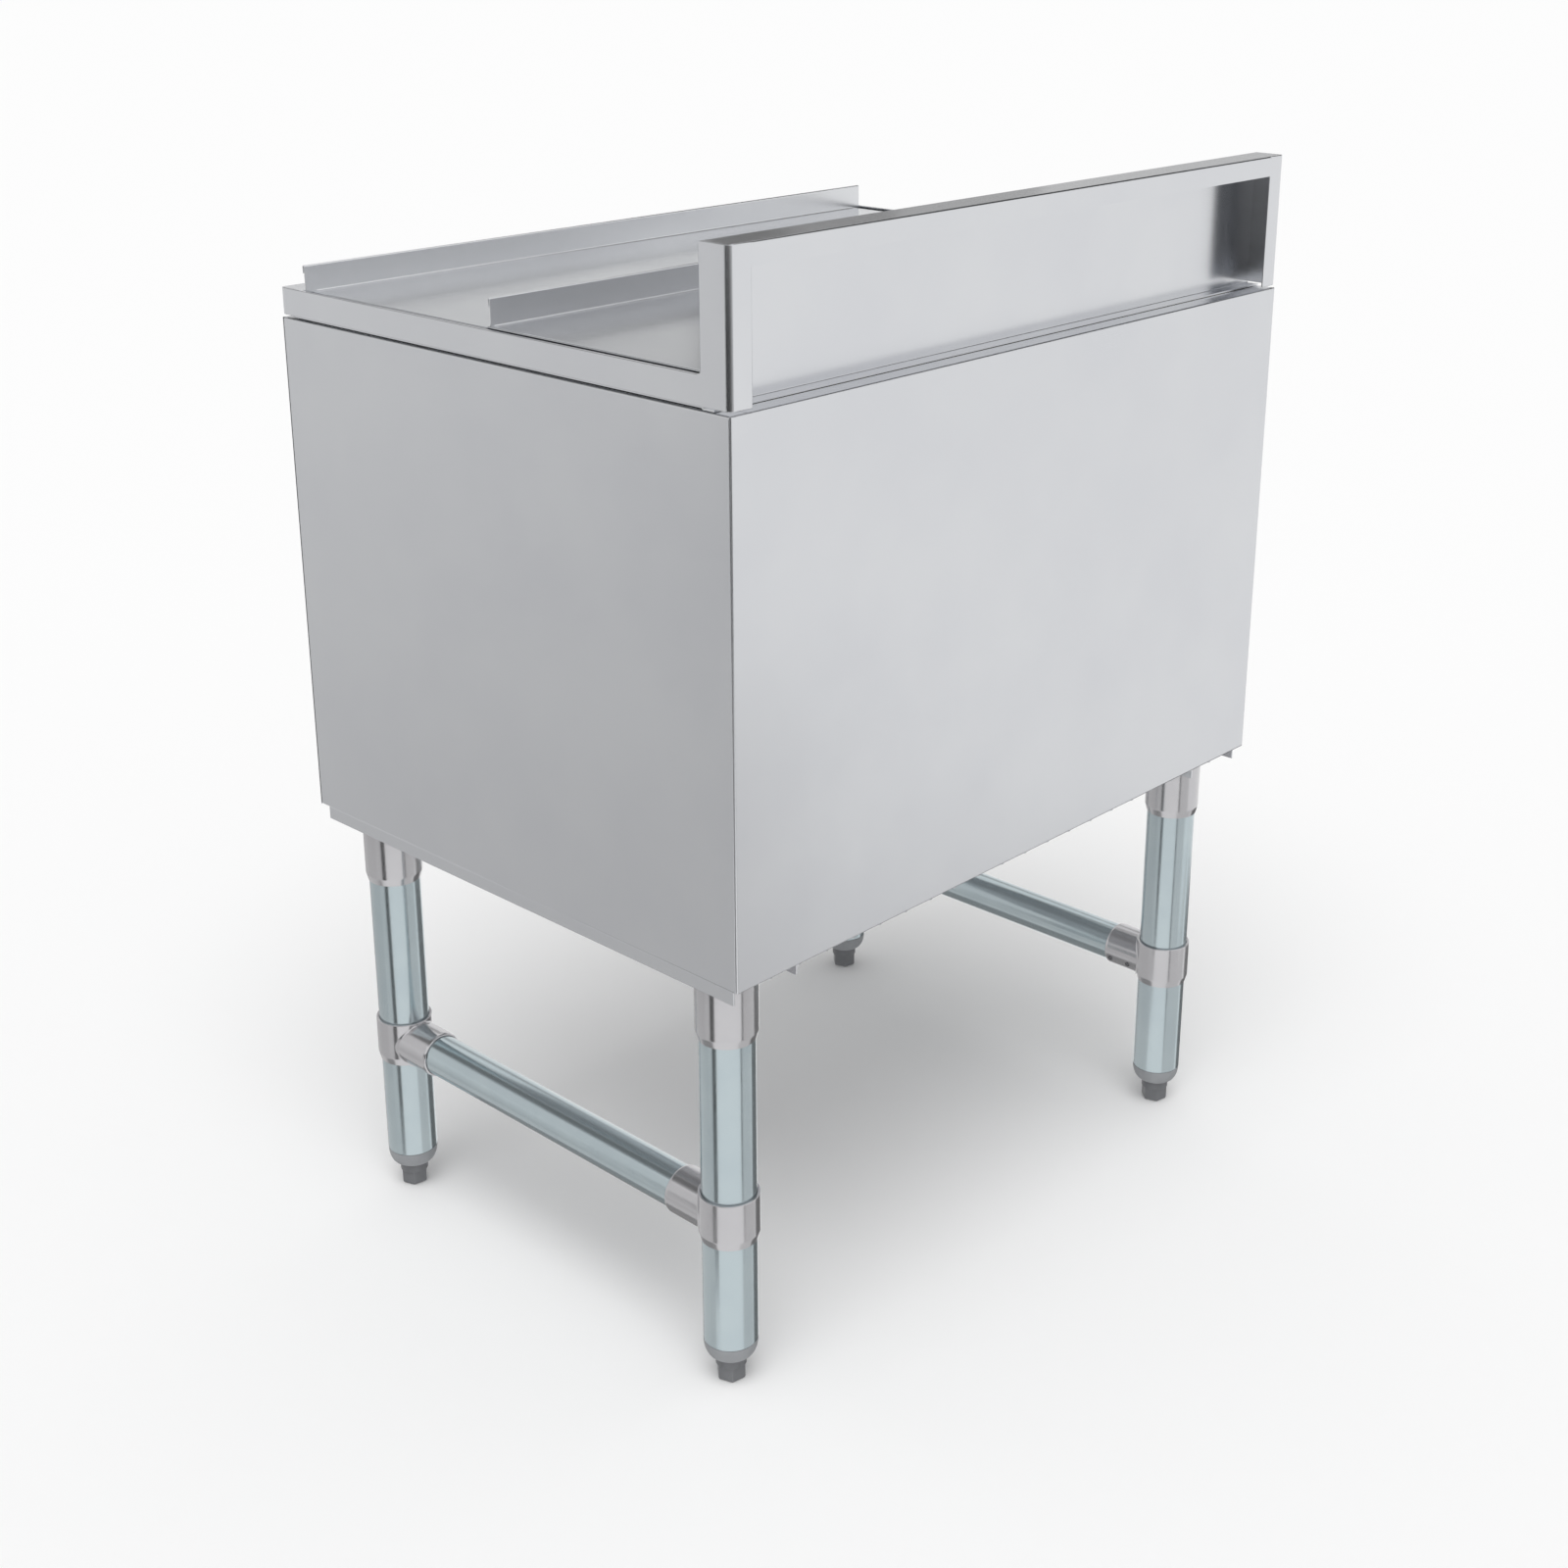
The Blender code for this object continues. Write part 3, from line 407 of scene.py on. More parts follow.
footPlastic = {
    "metal": 0, "rough": 0.36, "colour": (0.17, 0.175, 0.185), "second": (0.15, 0.155, 0.165),
    "wornColour": (0.26, 0.265, 0.275), "grainSize": 1200, "relief": 0.15, "cloudSize": 60,
}
softRubber = {
    "metal": 0, "rough": 0.7, "colour": (0.03, 0.03, 0.03), "second": (0.04, 0.04, 0.04),
    "wornColour": (0.06, 0.06, 0.06), "grainSize": 800, "relief": 0.2,
}
foamFill = {
    "metal": 0, "rough": 0.9, "colour": (0.80, 0.72, 0.48), "second": (0.74, 0.65, 0.40),
    "wornColour": (0.85, 0.78, 0.55), "grainSize": 260, "relief": 0.8, "reliefDepth": 0.001, "cloudSize": 20,
}
darkScrew = {
    "metal": 1, "rough": 0.33, "colour": (0.18, 0.18, 0.19), "second": (0.15, 0.15, 0.16),
    "wornColour": (0.32, 0.32, 0.33), "grainSize": 1500, "relief": 0.05, "cloudSize": 200,
}
looks = {
    "panel_steel": surface("panel steel", panelSteel),
    "frame_steel": surface("frame steel", frameSteel),
    "lid_steel": surface("lid steel", lidSteel),
    "liner_steel": surface("liner steel", linerSteel),
    "galvanised_tube": surface("tube coat", tubePaint),
    "cast_socket": surface("casting coat", castPaint),
    "cast_aluminium": surface("cast plate", castAluminium),
    "circuit_steel": surface("circuit steel", circuitSteel),
    "chromed_brass": surface("bright brass", brightBrass),
    "grey_plastic": surface("cup plastic", greyPlastic),
    "dark_foot": surface("foot plastic", footPlastic),
    "gasket_rubber": surface("gasket rubber", softRubber),
    "foam": surface("foam fill", foamFill),
    "screw_steel": surface("screw oxide", darkScrew),
}
handleLitLook = surface("handle steel painted lighter", handleLitSteel)
slotOf = {row["node"]: row["material_slot"] for row in frame["record"]["subparts"]}
for name, obj in frame["nodes"].items():
    obj.data.materials.clear()
    obj.data.materials.append(looks[slotOf[name]])
print("finishes made,", len(looks))


# Top frame: skirt with returns, backsplash wall, tray with a rolled opening
topFrame = {
    "cornerBend": 0.0045, "returnWide": 0.0190, "returnHigh": 0.0150, "wallFoot": 0.0110,
    "stepFillet": 0.0030, "openHalf": 0.2728, "openFront": -0.17695, "openRear": 0.18695,
    "openCorner": 0.0168, "lipDrop": 0.0100, "lipRoll": 0.0016, "lipBand": 0.0200, "deckIn": 0.00088,
    "riserIn": 0.0032, "riserRoom": 0.0120, "hair": 0.00006, "wallBite": 0.0200, "deckBite": 0.0050,
}


def cornerBites(r, hair, way, low, high):
    # takes a sheet's square corners back to a round one
    w, d = binAt["halfWide"], binAt["halfDeep"]
    made = []
    for sign in (-1, 1):
        outline = [(sign * (w - r + (r - hair) * math.cos(a)), way * (d - r + (r - hair) * math.sin(a)))
                   for a in quarterTurn(10)]
        outline += [(sign * (w - r), way * (d + past)), (sign * (w + past), way * (d + past)),
                    (sign * (w + past), way * (d - r))]
        made.append(objectFrom(drawn(outline, 2, low, high), "corner cutter"))
    return made


def buildTopFrame(cfg):
    w, d, t, fold = binAt["halfWide"], binAt["halfDeep"], binAt["sheet"], binAt["foldOuter"]
    bed, rim, top, wall = binAt["bed"], binAt["rim"], binAt["top"], binAt["wallFront"]
    steel = "frame_steel"
    # welded sheets stand a hair below one another, so no two faces share a plane
    hair = cfg["hair"]
    low = rim - hair
    skirtPath = [(cfg["returnWide"] - w, d), (-w, d), (-w, -d), (w, -d), (w, d), (w - cfg["returnWide"], d)]
    step = [(-d - past, low), (wall, low), (wall, top + past), (-d - past, top + past)]
    stepCut = objectFrom(
        drawn(rounded(step, [0, cfg["stepFillet"], 0, 0], 8), 0, -w - past, w + past), "step cutter"
    )
    skirt = drawn(sheetOutline(skirtPath, t, cfg["cornerBend"], 10), 2, binAt["skirtLow"], top - hair)
    piece("frame_skirt", skirt, steel, stands=["top_frame"], cuts=[stepCut], edge=0.0005)

    span, foot = w - cfg["deckIn"], binAt["bodyTop"] + apart
    wallPath = [(d - hair, top - cfg["returnHigh"]), (d - hair, top), (wall, top), (wall, foot),
                (wall + cfg["wallFoot"], foot)]
    piece("backsplash_sheet", drawn(sheetOutline(wallPath, t, fold, 6), 0, -span, span), steel,
          cuts=cornerBites(cfg["cornerBend"], hair * 2, 1, top - cfg["wallBite"], top + past))

    def opening(out, level):
        return roundRect(cfg["openHalf"] + out, cfg["openFront"] - out, cfg["openRear"] + out,
                         cfg["openCorner"] + out, level)

    grow = cfg["lipRoll"]
    openCut = objectFrom(skinned([opening(grow, bed - past), opening(grow, bed + past)], True, True),
                         "opening cutter")
    front, rear = binAt["trayFront"], wall + t / 2
    trayPath = [(rear, bed), (front, bed), (front, rim), (cfg["deckIn"] - d, rim)]
    tray = drawn(sheetOutline(trayPath, t, fold, 6), 0, -span, span)
    piece("tray_and_deck", tray, steel,
          cuts=[openCut, *cornerBites(cfg["cornerBend"], hair * 2, -1, bed - cfg["deckBite"], rim + past)])

    rings = [opening(grow * (1 - math.sin(a)), bed - grow * (1 - math.cos(a))) for a in quarterTurn(6)]
    rings.append(opening(0, bed - cfg["lipDrop"]))
    # the roll starts on the flat bed and turns down into the opening; its back is one sheet further out
    band = cfg["lipBand"]
    closed = list(rings)
    for ring in reversed(rings):
        closed.append([
            (x + math.copysign(t, x) * (abs(x) > cfg["openHalf"] - band),
             y + math.copysign(t, y) * (y > cfg["openRear"] - band or y < cfg["openFront"] + band),
             min(z, bed - t))
            for x, y, z in ring
        ])
    closed.append(closed[0])
    piece("opening_lip", skinned(closed), steel, edge=0.0002)

    for side, sign in sides:
        strip = slab((sign * (w - t * 2), sign * (w - t / 2)), (front, rear), bed - t / 2, low - hair)
        piece("tray_side_" + side, strip, steel)
        strip = slab((sign * (w - cfg["riserIn"] - t), sign * (w - cfg["riserIn"])), (cfg["riserRoom"] - d, rear),
                     foot, bed - t / 2)
        piece("riser_side_" + side, strip, steel)
    front, reach = cfg["riserIn"] - d, w - cfg["riserRoom"]
    piece("riser_front", slab((-reach, reach), (front, front + t), foot, rim - t / 2), steel)


buildTopFrame(topFrame)
print("top frame built")


# Cabinet walls with turned-in flanges, and the weld heads below the rear one
cabinetWalls = {
    "flange": 0.0150, "weldPitch": 0.0278, "weldFirst": 0.0330, "weldIn": 0.0026,
    "weldRadius": 0.0020, "weldHigh": 0.0011, "weldRoot": 0.0006, "edgeRoll": 0.0011, "seam": 0.0006,
    "tabWide": 0.0120, "tabLow": 0.3467, "hair": 0.00002,
}


def buildCabinetWalls(cfg):
    w, d = binAt["halfWide"], binAt["halfDeep"]
    t, fold = binAt["sheet"], binAt["foldOuter"]
    low, high, flange, steel = binAt["bodyLow"], binAt["bodyTop"], cfg["flange"], "panel_steel"
    for name, way in (("rear_panel", 1), ("front_panel", -1)):
        path = [(way * (d - flange), low), (way * d, low), (way * d, high), (way * (d - flange), high)]
        if way < 0:
            path.reverse()
        notches = []
        for sign in (-1, 1):
            notch = slab((sign * (w - flange - apart), sign * (w + past)),
                         (way * (d - flange - past), way * (d - t)), low - past, high + past)
            notches.append(objectFrom(notch, "notch cutter"))
        notches += cornerBites(cfg["edgeRoll"], cfg["hair"], way, low - past, high + past)
        piece(name + "_skin", drawn(sheetOutline(path, t, fold, 7), 0, -w, w), steel, stands=[name],
              cuts=notches, edge=0.0004)
    end = d - t - cfg["seam"]
    for side, sign in sides:
        path = [(sign * (w - flange), low), (sign * w, low), (sign * w, high), (sign * (w - flange), high)]
        if sign < 0:
            path.reverse()
        piece("side_skin_" + side, drawn(sheetOutline(path, t, fold, 7), 1, -end, end), steel,
              stands=["side_panel_" + side])
        for name, way in ends:
            tab = slab((sign * (w - cfg["tabWide"]), sign * (w - t / 2)), (way * end, way * (end - t)),
                       cfg["tabLow"], high - t / 2)
            piece("corner_tab_" + side + "_" + name, tab, steel)
    radius, tall, root = cfg["weldRadius"], cfg["weldHigh"], low + cfg["weldRoot"]
    profile = [(0, root), (radius, root)]
    profile += [(radius * math.cos(a), low - tall * math.sin(a)) for a in quarterTurn(6)[:-1]]
    profile.append((0, low - tall))
    beads = bmesh.new()
    for i in range(int((w * 2 - cfg["weldFirst"] * 2) / cfg["weldPitch"]) + 1):
        place = (w - cfg["weldFirst"] - i * cfg["weldPitch"], d - cfg["weldIn"], 0)
        gather(beads, moved(turnedShape(profile, 24), place))
    piece("weld_beads", beads, steel, edge=0)


buildCabinetWalls(cabinetWalls)
print("cabinet walls built")


# Lids: a pan of sheet each, with an upright hemmed handle
lidSheets = {
    "sheet": 0.0010, "low": 0.7504, "edge": 0.0011, "handleDeep": 0.0026, "hem": 0.0060, "hemFold": 0.0012,
    "root": 0.0009, "rootShort": 0.0030, "rootLift": 0.00003,
    "front": {"half": 0.2958, "front": -0.20955, "rear": 0.01195, "top": 0.7560,
              "span": 0.3018, "back": -0.20595, "handleTop": 0.7755},
    "rear": {"half": 0.2972, "front": -0.00365, "rear": 0.20795, "top": 0.7574,
             "span": 0.2968, "back": -0.00005, "handleTop": 0.7769},
}


def buildLids(cfg):
    t, r, steel = cfg["sheet"], cfg["edge"], "lid_steel"
    lid = cfg["front"]
    rings = [roundRect(lid["half"], lid["front"], lid["rear"], r, cfg["low"])]
    for a in quarterTurn(5):
        inset = r * (1 - math.cos(a))
        rings.append(roundRect(lid["half"] - inset, lid["front"] + inset, lid["rear"] - inset, r - inset,
                               lid["top"] - r * (1 - math.sin(a))))
    piece("front_lid_pan", skinned(rings, capLast=True), steel, "front_lid", ["front_lid"], thick=t)
    lid = cfg["rear"]
    path = [(lid["half"], cfg["low"]), (lid["half"], lid["top"]), (-lid["half"], lid["top"]),
            (-lid["half"], cfg["low"])]
    piece("rear_lid_pan", drawn(sheetOutline(path, t, r, 7), 1, lid["front"], lid["rear"]), steel,
          "rear_lid", ["rear_lid"])
    for name in ("front", "rear"):
        lid = cfg[name]
        back, deep = lid["back"], cfg["handleDeep"]
        path = [(back, lid["top"] - t / 2), (back, lid["handleTop"]), (back - deep, lid["handleTop"]),
                (back - deep, lid["handleTop"] - cfg["hem"])]
        # the handle takes the lighter copy of the lid steel, not its own slot's finish: painted highlight
        piece(name + "_lid_handle", drawn(sheetOutline(path, t, cfg["hemFold"], 6), 0, -lid["span"], lid["span"]),
              steel, name + "_lid", look=handleLitLook)
        # the hollow of the fold along the handle's foot, drawn like the handle in the lighter copy of the lid steel:
        # painted highlight
        root, level, reach = cfg["root"], lid["top"], lid["half"] - cfg["rootShort"]
        hollow = [(back - t / 2, level - t / 2), (back + root, level - t / 2)]
        hollow += [(back + root * (1 - math.sin(a)), level + root * (1 - math.cos(a)) + cfg["rootLift"])
                   for a in quarterTurn(6)]
        hollow.append((back - t / 2, level + root))
        piece(name + "_lid_fold", drawn(hollow, 0, -reach, reach), steel, name + "_lid", look=handleLitLook, edge=0)


buildLids(lidSheets)
print("lids built")


# Ice well: coved liner, cast plate with drain grooves, drink circuits, and the drain
wellForm = {
    "half": 0.2750, "front": -0.17915, "rear": 0.18915, "cove": 0.0190, "floor": 0.3921, "top": 0.7486,
    "sheet": 0.0010, "flange": 0.0140, "flangeRoll": 0.0020,
}
plateForm = {
    "half": 0.2520, "front": -0.09615, "rear": 0.16615, "low": 0.3924, "top": 0.4324, "edge": 0.0040,
    "draft": 0.0012, "groove": 0.0060, "grooveDeep": 0.0025, "grooveSoft": 0.0009,
}
circuitForm = {
    "count": 7, "first": -0.2210, "pitch": 0.0340, "radius": 0.00475, "bore": 0.0037, "boreDeep": 0.0500,
    "end": 0.3074, "level": 0.4124, "rear": 0.14415, "bend": 0.0140, "front": -0.0644, "barb": 0.0060,
    "barbRise": 0.0007, "barbPeak": 0.8, "hole": 0.00505, "nick": 0.0004, "mouth": 0.0002, "mouthDeep": 0.0003,
    "barbCrest": ((-0.0004, 0.95), (0, 1), (0.0003, 0.8), (0.0006, 0)),
}
drainForm = {
    "y": -0.13015, "flange": 0.0280, "flangeHigh": 0.0025, "tail": 0.0167, "bore": 0.0135, "low": 0.3924,
    "end": 0.2884, "seat": 0.0218, "seatLevel": 0.3934, "threadPitch": 0.0018, "threadDeep": 0.0005,
    "threadEnd": 0.0400, "hole": 0.0170, "gasket": 0.0260, "gasketTop": 0.3908, "gasketHigh": 0.0030,
    "nutCorner": 0.0270, "nutTop": 0.3875, "nutHigh": 0.0080, "nutChamfer": 0.0012,
    "strainer": 0.0215, "strainerLow": 0.3937, "strainerHigh": 0.0012, "gridHole": 0.0020, "ring": 0.0085,
    "rim": 0.0016, "chamfer": 0.0003, "nick": 0.0006, "mouth": 0.0004, "lead": 0.0008, "plain": 0.0030,
    "gasketSoft": 0.0009,
}
panForm = {"low": 0.3449, "top": 0.3461}


def roundHoles(name, low, high, spots):
    # one cutter for a sheet's round holes: spots of x, y and radius
    holes = bmesh.new()
    for x, y, r in spots:
        made = bmesh.ops.create_cone(holes, cap_ends=True, segments=48, radius1=r, radius2=r, depth=high - low)
        bmesh.ops.translate(holes, vec=(x, y, (low + high) / 2), verts=made["verts"])
    return objectFrom(holes, name)


def wellSpots():
    # where the drink circuits and the drain go through a floor
    c = circuitForm
    spots = [(c["first"] + i * c["pitch"], c["rear"], c["hole"]) for i in range(c["count"] * 2)]
    return spots + [(0, drainForm["y"], drainForm["hole"])]


def buildLiner(cfg):
    c, t, roll = cfg["cove"], cfg["sheet"], cfg["flangeRoll"]

    def ring(out, corner, level):
        return roundRect(cfg["half"] + out, cfg["front"] - out, cfg["rear"] + out, corner, level, 12)

    inner, outer = [], []
    for k in range(11):
        a = math.pi / 2 * (1 - k / 10)
        inset, lift = c * (1 - math.cos(a)), c * (1 - math.sin(a))
        inner.append(ring(-inset, c - inset, cfg["floor"] + lift))
        big = c + t
        outer.append(ring(t - big * (1 - math.cos(a)), big * math.cos(a), cfg["floor"] - t + big * (1 - math.sin(a))))
    for a in quarterTurn(5):
        out, drop = roll * (1 - math.cos(a)), roll * (1 - math.sin(a))
        inner.append(ring(out, c + out, cfg["top"] - drop))
        small = roll - t
        outer.append(ring(t + small * (1 - math.cos(a)), c + t + small * (1 - math.cos(a)),
                          cfg["top"] - t - small * (1 - math.sin(a))))
    inner.append(ring(cfg["flange"], c + cfg["flange"], cfg["top"]))
    outer.append(ring(cfg["flange"], c + cfg["flange"], cfg["top"] - t))
    holes = roundHoles("liner holes", cfg["floor"] - 0.02, cfg["floor"] + past, wellSpots())
    piece("well_pan", skinned(inner + outer[::-1], True, True), "liner_steel", stands=["ice_liner"],
          cuts=[holes], edge=0.0002)


def buildPlate(cfg):
    r, draft = cfg["edge"], cfg["draft"]
    high = cfg["top"] - cfg["low"]

    def ring(inset, level):
        # the cast sides lean in a little towards the top, as the pattern needs
        lean = draft * (level - cfg["low"]) / high + inset
        return roundRect(cfg["half"] - lean, cfg["front"] + lean, cfg["rear"] - lean, r * 2 - inset, level, 8)

    rings = [ring(r * (1 - math.sin(a)), cfg["low"] + r * (1 - math.cos(a))) for a in quarterTurn(6)]
    rings += [ring(r * (1 - math.cos(a)), cfg["top"] - r * (1 - math.sin(a))) for a in quarterTurn(6)]
    grooves = bmesh.new()
    half, soft = cfg["groove"] / 2, cfg["grooveSoft"]
    floor = cfg["top"] - cfg["grooveDeep"]
    outline = [(half + soft, cfg["top"] + past), (half + soft, cfg["top"] + soft * 0.2)]
    outline += [(half + soft * (1 - math.sin(a)), cfg["top"] - soft * (1 - math.cos(a))) for a in quarterTurn(4)[1:]]
    outline += [(half * x, floor + half * z) for x, z in ((1, 0.55), (0.86, 0.26), (0.5, 0.06), (0, 0))]
    outline += [(-x, z) for x, z in outline[-2::-1]]
    for i in range(1, circuitForm["count"] * 2):
        middle = circuitForm["first"] + (i - 0.5) * circuitForm["pitch"]
        gather(grooves, drawn([(middle + x, z) for x, z in outline], 1, cfg["front"] - past, cfg["rear"] + past))
    piece("chill_casting", skinned(rings, True, True), "cast_aluminium", stands=["cold_plate"],
          cuts=[objectFrom(grooves, "groove cutter")], edge=0.0004, crease=40)


def ringAbout(spot, across, up, r, steps=24):
    # a circle of points about a spot, in the plane of two directions
    hub, u, v = Vector(spot), Vector(across), Vector(up)
    return [hub + u * (r * math.cos(math.tau * i / steps)) + v * (r * math.sin(math.tau * i / steps))
            for i in range(steps)]


def circuitRings(cfg, x):
    # centres, turning frames and radii along one drink circuit, barbed end to barbed end
    turn = cfg["pitch"] / 2
    climb = [(cfg["end"], cfg["radius"] - cfg["nick"]), (cfg["end"] + cfg["nick"], cfg["radius"])]
    for i in range(2):
        peak = cfg["end"] + i * cfg["barb"] + cfg["barb"] * cfg["barbPeak"]
        climb += [(peak + along, cfg["radius"] + cfg["barbRise"] * share) for along, share in cfg["barbCrest"]]
    climb.append((cfg["level"] - cfg["bend"], cfg["radius"]))
    rows = [((x, cfg["rear"], z), (1, 0, 0), (0, 1, 0), r) for z, r in climb]
    for a in quarterTurn(8)[1:]:
        spot = (x, cfg["rear"] - cfg["bend"] * (1 - math.cos(a)), cfg["level"] - cfg["bend"] * (1 - math.sin(a)))
        rows.append((spot, (1, 0, 0), (0, math.cos(a), math.sin(a)), cfg["radius"]))
    half = len(rows)
    for k in range(25):
        a = math.pi * k / 24
        spot = (x + turn - turn * math.cos(a), cfg["front"] - turn * math.sin(a), cfg["level"])
        rows.append((spot, (math.cos(a), math.sin(a), 0), (0, 0, 1), cfg["radius"]))
    for (px, py, pz), across, up, r in reversed(rows[:half]):
        rows.append(((px + cfg["pitch"], py, pz), (-1, 0, 0), up, r))
    rings = [ringAbout(*row) for row in rows]
    # an open bore in each end
    bore = cfg["bore"]
    depths = ((0, bore + cfg["mouth"]), (cfg["mouthDeep"], bore), (cfg["boreDeep"], bore))
    for last in (0, -1):
        spot, across, up, r = rows[last]
        mouth = [ringAbout(Vector(spot) + Vector((0, 0, deep)), across, up, size) for deep, size in depths]
        rings = rings + mouth if last else mouth[::-1] + rings
    return rings


def threadRows(radius, start, end, pitch, depth, shares=(0.4, 0.55, 0.9)):
    # shares of the pitch where the thread reaches its root, leaves it and is back at its crest
    rows = []
    level = start
    while level < end:
        down, foot, back = [level + pitch * share for share in shares]
        rows += [(radius, level), (radius - depth, down), (radius - depth, foot), (radius, back)]
        level += pitch
    return rows


def hexRing(reach, level, steps=72, soft=0.985, turn=0):
    # flats with slightly softened corners
    made = []
    for i in range(steps):
        a = math.tau * i / steps
        flat = math.cos(math.pi / 6) / math.cos((a % (math.pi / 3)) - math.pi / 6)
        share = min(flat, soft) / soft
        made.append((reach * share * math.cos(a + turn), reach * share * math.sin(a + turn), level))
    return made


def circleRing(r, level, steps=72, turn=0):
    turns = [math.tau * i / steps + turn for i in range(steps)]
    return [(r * math.cos(a), r * math.sin(a), level) for a in turns]


def buildDrain(cfg):
    at = (0, cfg["y"], 0)
    # flange with a rounded rim and a tailpiece whose thread takes the locknut
    low, top, flange, rim = cfg["low"], cfg["low"] + cfg["flangeHigh"], cfg["flange"], cfg["rim"]
    tail, bore, end, seat = cfg["tail"], cfg["bore"], cfg["end"], cfg["seatLevel"]
    threadLow, nick, mouth, lead = low - cfg["threadEnd"], cfg["nick"], cfg["mouth"], cfg["lead"]
    outline = [(cfg["seat"], top)]
    outline += [(flange - rim * (1 - math.sin(a)), top - rim * (1 - math.cos(a))) for a in quarterTurn(4)]
    outline += [(flange, low + cfg["chamfer"]), (flange - cfg["chamfer"], low), (tail, low)]
    thread = threadRows(tail, threadLow, low - cfg["plain"], cfg["threadPitch"], cfg["threadDeep"])
    outline += thread[::-1]
    outline += [(tail - cfg["threadDeep"], threadLow - 0.001), (tail, threadLow - 0.002), (tail, end + nick),
                (tail - nick, end), (bore + mouth, end), (bore, end + mouth),
                (bore, seat - lead), (bore + lead, seat), (cfg["seat"], seat)]
    piece("drain_spud", moved(turnedShape(outline), at), "chromed_brass", stands=["drain_body"], edge=0)
    hole, wide, low, high = cfg["hole"], cfg["gasket"], cfg["gasketTop"] - cfg["gasketHigh"], cfg["gasketTop"]
    outline = rounded([(hole, low), (wide, low), (wide, high), (hole, high)], cfg["gasketSoft"], 4)
    piece("drain_washer", moved(turnedShape(outline), at), "gasket_rubber", stands=["drain_gasket"], edge=0)
    low, top, corner, chamfer = cfg["nutTop"] - cfg["nutHigh"], cfg["nutTop"], cfg["nutCorner"], cfg["nutChamfer"]
    rings = [circleRing(hole + lead, low), hexRing(corner - chamfer, low), hexRing(corner, low + chamfer),
             hexRing(corner, top - nick), hexRing(corner - nick, top), circleRing(hole + lead, top),
             circleRing(hole, top - lead), circleRing(hole, low + lead)]
    piece("drain_nut", moved(skinned(rings + [rings[0]]), at), "chromed_brass", stands=["drain_locknut"], edge=0)
    wide, low, high = cfg["strainer"], cfg["strainerLow"], cfg["strainerLow"] + cfg["strainerHigh"]
    disc = turnedShape(rounded([(0, low), (wide, low), (wide, high), (0, high)], [0, 0.0003, 0.0005, 0], 4))
    around = [math.tau * i / 6 for i in range(6)]
    spots = [(cfg["ring"] * math.cos(a), cfg["y"] + cfg["ring"] * math.sin(a), cfg["gridHole"]) for a in around]
    spots.append((0, cfg["y"], cfg["gridHole"]))
    piece("drain_grid", moved(disc, at), "chromed_brass", stands=["drain_strainer"],
          cuts=[roundHoles("grid holes", low - past, high + past, spots)], edge=0.0002)


def buildPan(cfg):
    end = binAt["halfDeep"] - binAt["sheet"] - apart
    span = binAt["halfWide"] - binAt["sheet"] - apart
    low, high = cfg["low"], cfg["top"]
    holes = roundHoles("pan holes", low - past, high + past, wellSpots())
    piece("floor_pan", slab((-span, span), (-end, end), low, high), "panel_steel", stands=["bottom_pan"],
          cuts=[holes], edge=0.0002)


buildLiner(wellForm)
buildPlate(plateForm)
for number in range(circuitForm["count"]):
    x = circuitForm["first"] + number * circuitForm["pitch"] * 2
    piece("drink_line_" + str(number + 1), skinned(circuitRings(circuitForm, x), True, True), "circuit_steel",
          stands=["circuit_tube_" + str(number + 1)], edge=0)
buildDrain(drainForm)
buildPan(panForm)
print("ice well built")


# Leg stand: channels, sockets, tubes, tee clamps, braces, cups and feet
channelForm = {"half": 0.0312, "low": 0.3315, "top": 0.3431, "reach": 0.22795, "sheet": 0.0015, "fold": 0.0020}
socketForm = {"low": 0.2825, "top": 0.3413, "bore": 0.0206, "outer": 0.0226, "lipHigh": 0.0062, "lipIn": 0.0016}
tubeForm = {"radius": 0.0203, "wall": 0.0015, "low": 0.0347, "top": 0.3390}
teeForm = {
    "level": 0.1374, "low": 0.1203, "high": 0.1578, "reach": 0.0490, "bore": 0.0169, "outer": 0.0186,
    "lip": 0.0030, "lipIn": 0.0012, "fillet": 0.0016,
}
braceForm = {"radius": 0.0166, "wall": 0.0015, "reach": 0.1688}
cupForm = {"low": 0.0207, "bowlTop": 0.0344, "plug": 0.0185, "plugTop": 0.0587, "mouth": 0.0135, "stem": 0.0063}
footForm = {
    "corner": 0.01125, "collarLow": 0.0124, "collar": 0.0115, "high": 0.0204, "chamfer": 0.0020, "turn": 20,
    "stem": 0.0060, "stemTop": 0.0624, "cornerSoft": 0.985, "nick": 0.0004, "tip": 0.0008,
    "plainLow": 0.001, "plainTop": 0.003, "threadPitch": 0.0016, "threadDeep": 0.0004,
}
screwForm = {"radius": 0.0025, "tip": 0.0169, "head": 0.0191, "socket": 0.0013, "deep": 0.0012,
             "nick": 0.0003, "near": 0.0245, "far": 0.0430, "drop": 22}


